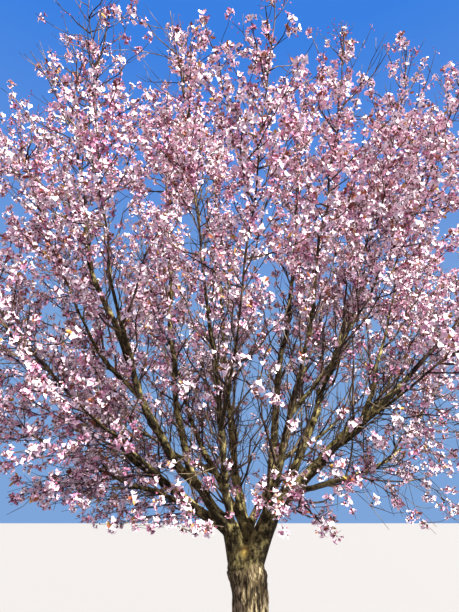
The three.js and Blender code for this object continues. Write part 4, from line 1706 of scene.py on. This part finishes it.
        # Painted light: each point's share of the sunlit patch.
        pale = np.exp(-np.sum(((spots - self.painted_sunlit_patch) / self.painted_sunlit_patch_reach) ** 2, axis=1))
        spots += normals.reshape(-1, 3) * (depth * above_foot)[:, None]
        move_vertices(trunk, spots)
        write_grain(trunk, grain)
        for name, values in {"stock": stock, "head": head, "pale": pale}.items():
            attribute = trunk.data.attributes.new(name, "FLOAT", "POINT")
            attribute.data.foreach_set("value", values.astype(np.float32))

    def cut_flat(self, trunk):
        """Cuts the foot off at the ground and closes it."""
        select_only(trunk)
        foot = (0, 0, self.foot_height)
        bpy.ops.object.mode_set(mode="EDIT")
        bpy.ops.mesh.select_all(action="SELECT")
        bpy.ops.mesh.bisect(plane_co=foot, plane_no=(0, 0, 1), clear_inner=True, use_fill=True)
        bpy.ops.object.mode_set(mode="OBJECT")


class BoughsOperator(Operator):
    """Make each main bough with its side boughs, in ridged olive bark"""

    bl_idname = "cherry.boughs"
    bl_label = "Boughs"

    thick = 0.03
    sides_if_thick = 18
    sides_if_thin = 12

    def execute(self, context):
        bark = context.scene.cherry_bark
        limbs = tree_plan()["limbs"]
        material = bough_finish(bark)
        parents = {row[0]: row[1] for row in BOUGHS}
        groups = {}
        for name in limbs:
            root = name
            while parents[root] not in HEAD_STEMS:
                root = parents[root]
            sides = self.sides_if_thick if limbs[name].base > self.thick else self.sides_if_thin
            bar = bent_limb(limbs[name], sides, bark.ring_spacing, bark.bough_relief)
            groups.setdefault(root, []).append((name, bar))
        for root, members in groups.items():
            piece = joined([bar for _, bar in members], f"boughs_{root}")
            piece.data.materials.clear()
            piece.data.materials.append(material)
            piece.data.polygons.foreach_set("use_smooth", np.full(len(piece.data.polygons), True))
            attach(piece, "root")
            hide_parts(*(f"bough_{name}" for name, _ in members))
        return {"FINISHED"}


def finish_piece(piece, side):
    """A piece of one side of the crown stands for that side's masses."""
    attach(piece, "root")
    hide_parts(*(f"blossom_{name}" for name in SIDES[side]))


class TwigsOperator(Operator):
    """Grow stems, shoots and fine twigs from the tips and flanks of the boughs"""

    bl_idname = "cherry.twigs"
    bl_label = "Twigs"

    def execute(self, context):
        material = twig_finish(context.scene.cherry_bark)
        for side in SIDES:
            members = masses_on(side)
            parts = []
            for twigs, sides in tree_plan()["twigs"]:
                keep = np.isin(twigs.mass, members)
                if keep.any():
                    parts.append(bundle(twigs, keep, sides))
            piece = add_mesh(f"twigs_{side}", *stacked(parts), [material], smooth=True)
            finish_piece(piece, side)
        return {"FINISHED"}


class BlossomOperator(Operator):
    """Set clusters of flowers, buds and stalks along the twigs"""

    bl_idname = "cherry.blossom"
    bl_label = "Blossom"

    seed = 5150
    tint_shares = (0.5, 0.3, 0.13, 0.05, 0.02)
    size_play = (0.85, 1.15)

    def tints_of(self, shape, tint, shift):
        """Material of each face: a petal's by its cluster and flower, another's by what it is."""
        count = len(self.tint_shares)
        kinds = shape["kinds"]
        # Inner petals and petals in painted shade are one tint deeper.
        shade = tint[:, None] + shift[:, shape["flowers"]] + (kinds == INNER_AND_PAINTED_SHADE_PETAL)
        fixed = kinds[None] - HEART + count
        return np.where(kinds[None] < HEART, np.clip(shade, 0, count - 1), fixed).ravel()

    def execute(self, context):
        look = context.scene.cherry_blossom
        tints = [look.petal_palest, look.petal_pale, look.petal_pink, look.petal_rose, look.petal_mauve]
        materials = [plain_finish(f"petal_{i + 1}", colour, 0.6) for i, colour in enumerate(tints)]
        materials.append(plain_finish("heart", look.heart_colour, 0.7))
        materials.append(plain_finish("bud", look.bud_colour, 0.5))
        stalk_material = plain_finish("calyx", look.calyx_colour, 0.6)
        all_kinds = CLUSTER_KINDS + BUD_CLUSTER_KINDS
        shapes = [cluster_shape(kind, look.flower_radius) for kind in range(all_kinds)]
        plan = tree_plan()
        rng = np.random.default_rng(self.seed)
        count = len(plan["spots"])
        bud_kinds = rng.integers(CLUSTER_KINDS, all_kinds, count)
        kinds = np.where(plan["in_bud"], bud_kinds, rng.integers(0, CLUSTER_KINDS, count))
        tint = rng.choice(len(tints), count, p=self.tint_shares)
        matrices = frame_facing(plan["facings"], rng.uniform(0, 2 * math.pi, count))
        scales = rng.uniform(*self.size_play, count)
        shift = rng.integers(-1, 2, (count, FLOWERS_PER_CLUSTER))
        for side in SIDES:
            members = np.flatnonzero(np.isin(plan["owners"], masses_on(side)))
            per_cluster = max(len(shape["kinds"]) for shape in shapes)
            pieces = -(-len(members) * per_cluster // PIECE_TRIANGLES)
            for number, chosen in enumerate(np.array_split(members, pieces)):
                blooms, face_tints, stalks = [], [], []
                for kind, shape in enumerate(shapes):
                    here = chosen[kinds[chosen] == kind]
                    placing = matrices[here], scales[here], plan["spots"][here]
                    blooms.append(copies(*shape["blooms"], *placing))
                    stalks.append(copies(*shape["stalks"], *placing))
                    face_tints.append(self.tints_of(shape, tint[here], shift[here]))
                name = f"{side}_{number + 1}"
                tints_by_face = np.concatenate(face_tints)
                piece = add_mesh(f"flowers_{name}", *stacked(blooms), materials, tints_by_face)
                finish_piece(piece, side)
                piece = add_mesh(f"stalks_{name}", *stacked(stalks), [stalk_material])
                finish_piece(piece, side)
        return {"FINISHED"}


class LeavesOperator(Operator):
    """Add the few young leaves that open among the flowers"""

    bl_idname = "cherry.leaves"
    bl_label = "Young leaves"

    seed = 77
    share_with_leaves = 0.4
    share_in_bud = 0.08
    leaves_per_cluster = 2
    facing_play = 0.6
    facing_lift = 0.4
    size_play = (0.6, 1.25)
    stand_off = 0.012
    tint_shares = (0.42, 0.33, 0.25)

    def execute(self, context):
        look = context.scene.cherry_blossom
        names = ("leaf_bronze", "leaf_red", "leaf_olive")
        materials = [plain_finish(name, getattr(look, name), 0.45) for name in names]
        plan = tree_plan()
        rng = np.random.default_rng(self.seed)
        vertices, faces = leaf_shape()
        for side in SIDES:
            members = np.flatnonzero(np.isin(plan["owners"], masses_on(side)))
            chance = np.where(plan["in_bud"][members], self.share_in_bud, self.share_with_leaves)
            members = members[rng.uniform(0, 1, len(members)) < chance]
            members = np.repeat(members, self.leaves_per_cluster)
            count = len(members)
            play = rng.normal(0, self.facing_play, (count, 3))
            facing = unit(plan["facings"][members] + play + UP * self.facing_lift)
            matrices = frame_facing(facing, rng.uniform(0, 2 * math.pi, count))
            scales = look.leaf_length * rng.uniform(*self.size_play, count)
            spots = plan["spots"][members] + facing * self.stand_off
            made = copies(vertices, faces, matrices, scales, spots)
            tint = np.repeat(rng.choice(len(materials), count, p=self.tint_shares), len(faces))
            finish_piece(add_mesh(f"leaves_{side}", *made, materials, tint), side)
        return {"FINISHED"}


class StageOperator(Operator):
    """Add the pale floor, the backdrop, the lights and the camera"""

    bl_idname = "cherry.stage"
    bl_label = "Stage"

    floor_size = 400
    focal_pixels = 478
    image_height = 612
    sensor = 36
    camera_spot = (-0.14, -3.8, 1.6)
    camera_pitch = 24
    key_turn = (48, 0, 52)
    key_softness = 3
    key_colour = (1.0, 0.97, 0.93)
    backdrop_rise = (0.35, 0.8)

    def execute(self, context):
        look = context.scene.cherry_stage
        select_only()
        bpy.ops.mesh.primitive_plane_add(size=self.floor_size)
        floor = context.object
        floor.name = "floor"
        floor.data.materials.append(plain_finish("floor", look.floor_colour, 0.9))
        # So wide a floor would throw its own light up into the crown.
        floor.visible_diffuse = False

        self.surroundings(context.scene, look)

        select_only()
        bpy.ops.object.light_add(type="SUN", rotation=np.radians(self.key_turn))
        key = context.object
        key.data.energy = look.key_strength
        key.data.angle = math.radians(self.key_softness)
        key.data.color = self.key_colour

        pitch = math.radians(90 + self.camera_pitch)
        bpy.ops.object.camera_add(location=self.camera_spot, rotation=(pitch, 0, 0))
        camera = context.object
        camera.data.sensor_width = self.sensor
        camera.data.lens = self.focal_pixels / self.image_height * self.sensor
        context.scene.camera = camera
        context.scene.view_settings.view_transform = "Standard"
        return {"FINISHED"}

    def surroundings(self, scene, look):
        """Soft light from all round, and a plain backdrop that lights nothing."""
        world = bpy.data.worlds.new("surroundings")
        world.use_nodes = True
        nodes, links = world.node_tree.nodes, world.node_tree.links
        light, backdrop = nodes["Background"], nodes.new("ShaderNodeBackground")
        light.inputs["Color"].default_value = opaque(look.soft_colour)
        light.inputs["Strength"].default_value = look.soft_strength
        way, level = nodes.new("ShaderNodeTexCoord"), nodes.new("ShaderNodeSeparateXYZ")
        height, blend = nodes.new("ShaderNodeMapRange"), nodes.new("ShaderNodeMix")
        for name, value in zip(("From Min", "From Max"), self.backdrop_rise):
            height.inputs[name].default_value = value
        blend.data_type = "RGBA"
        blend.inputs[6].default_value = opaque(look.backdrop_low)
        blend.inputs[7].default_value = opaque(look.backdrop_high)
        links.new(way.outputs["Generated"], level.inputs[0])
        links.new(level.outputs["Z"], height.inputs["Value"])
        links.new(height.outputs[0], blend.inputs[0])
        links.new(blend.outputs[2], backdrop.inputs["Color"])
        chosen, rays = nodes.new("ShaderNodeMixShader"), nodes.new("ShaderNodeLightPath")
        links.new(rays.outputs["Is Camera Ray"], chosen.inputs[0])
        links.new(light.outputs[0], chosen.inputs[1])
        links.new(backdrop.outputs[0], chosen.inputs[2])
        links.new(chosen.outputs[0], nodes["World Output"].inputs["Surface"])
        scene.world = world


class CherryPanel(Panel):
    """The pieces of the tree and their settings"""

    bl_idname = "VIEW3D_PT_cherry"
    bl_label = "Cherry"
    bl_space_type = "VIEW_3D"
    bl_region_type = "UI"
    bl_category = "Cherry"

    def draw(self, context):
        for operator in OPERATORS:
            self.layout.operator(operator.bl_idname)
        for group in SETTINGS:
            box = self.layout.box()
            settings = getattr(context.scene, group)
            for name in settings.__annotations__:
                box.prop(settings, name)


OPERATORS = (
    StageOperator, TrunkOperator, BoughsOperator, TwigsOperator, BlossomOperator, LeavesOperator,
)
SETTINGS = {
    "cherry_bark": BarkSettings, "cherry_blossom": BlossomSettings, "cherry_stage": StageSettings,
}


def register():
    for group in SETTINGS.values():
        bpy.utils.register_class(group)
    for operator in OPERATORS:
        bpy.utils.register_class(operator)
    bpy.utils.register_class(CherryPanel)
    for name, group in SETTINGS.items():
        setattr(bpy.types.Scene, name, PointerProperty(type=group))


def unregister():
    for name in SETTINGS:
        delattr(bpy.types.Scene, name)
    bpy.utils.unregister_class(CherryPanel)
    for operator in reversed(OPERATORS):
        bpy.utils.unregister_class(operator)
    for group in reversed(SETTINGS.values()):
        bpy.utils.unregister_class(group)


def main():
    register()
    bpy.ops.cherry.stage()
    bpy.ops.cherry.trunk()
    bpy.ops.cherry.boughs()
    bpy.ops.cherry.twigs()
    bpy.ops.cherry.blossom()
    bpy.ops.cherry.leaves()


if __name__ == "__main__":
    main()
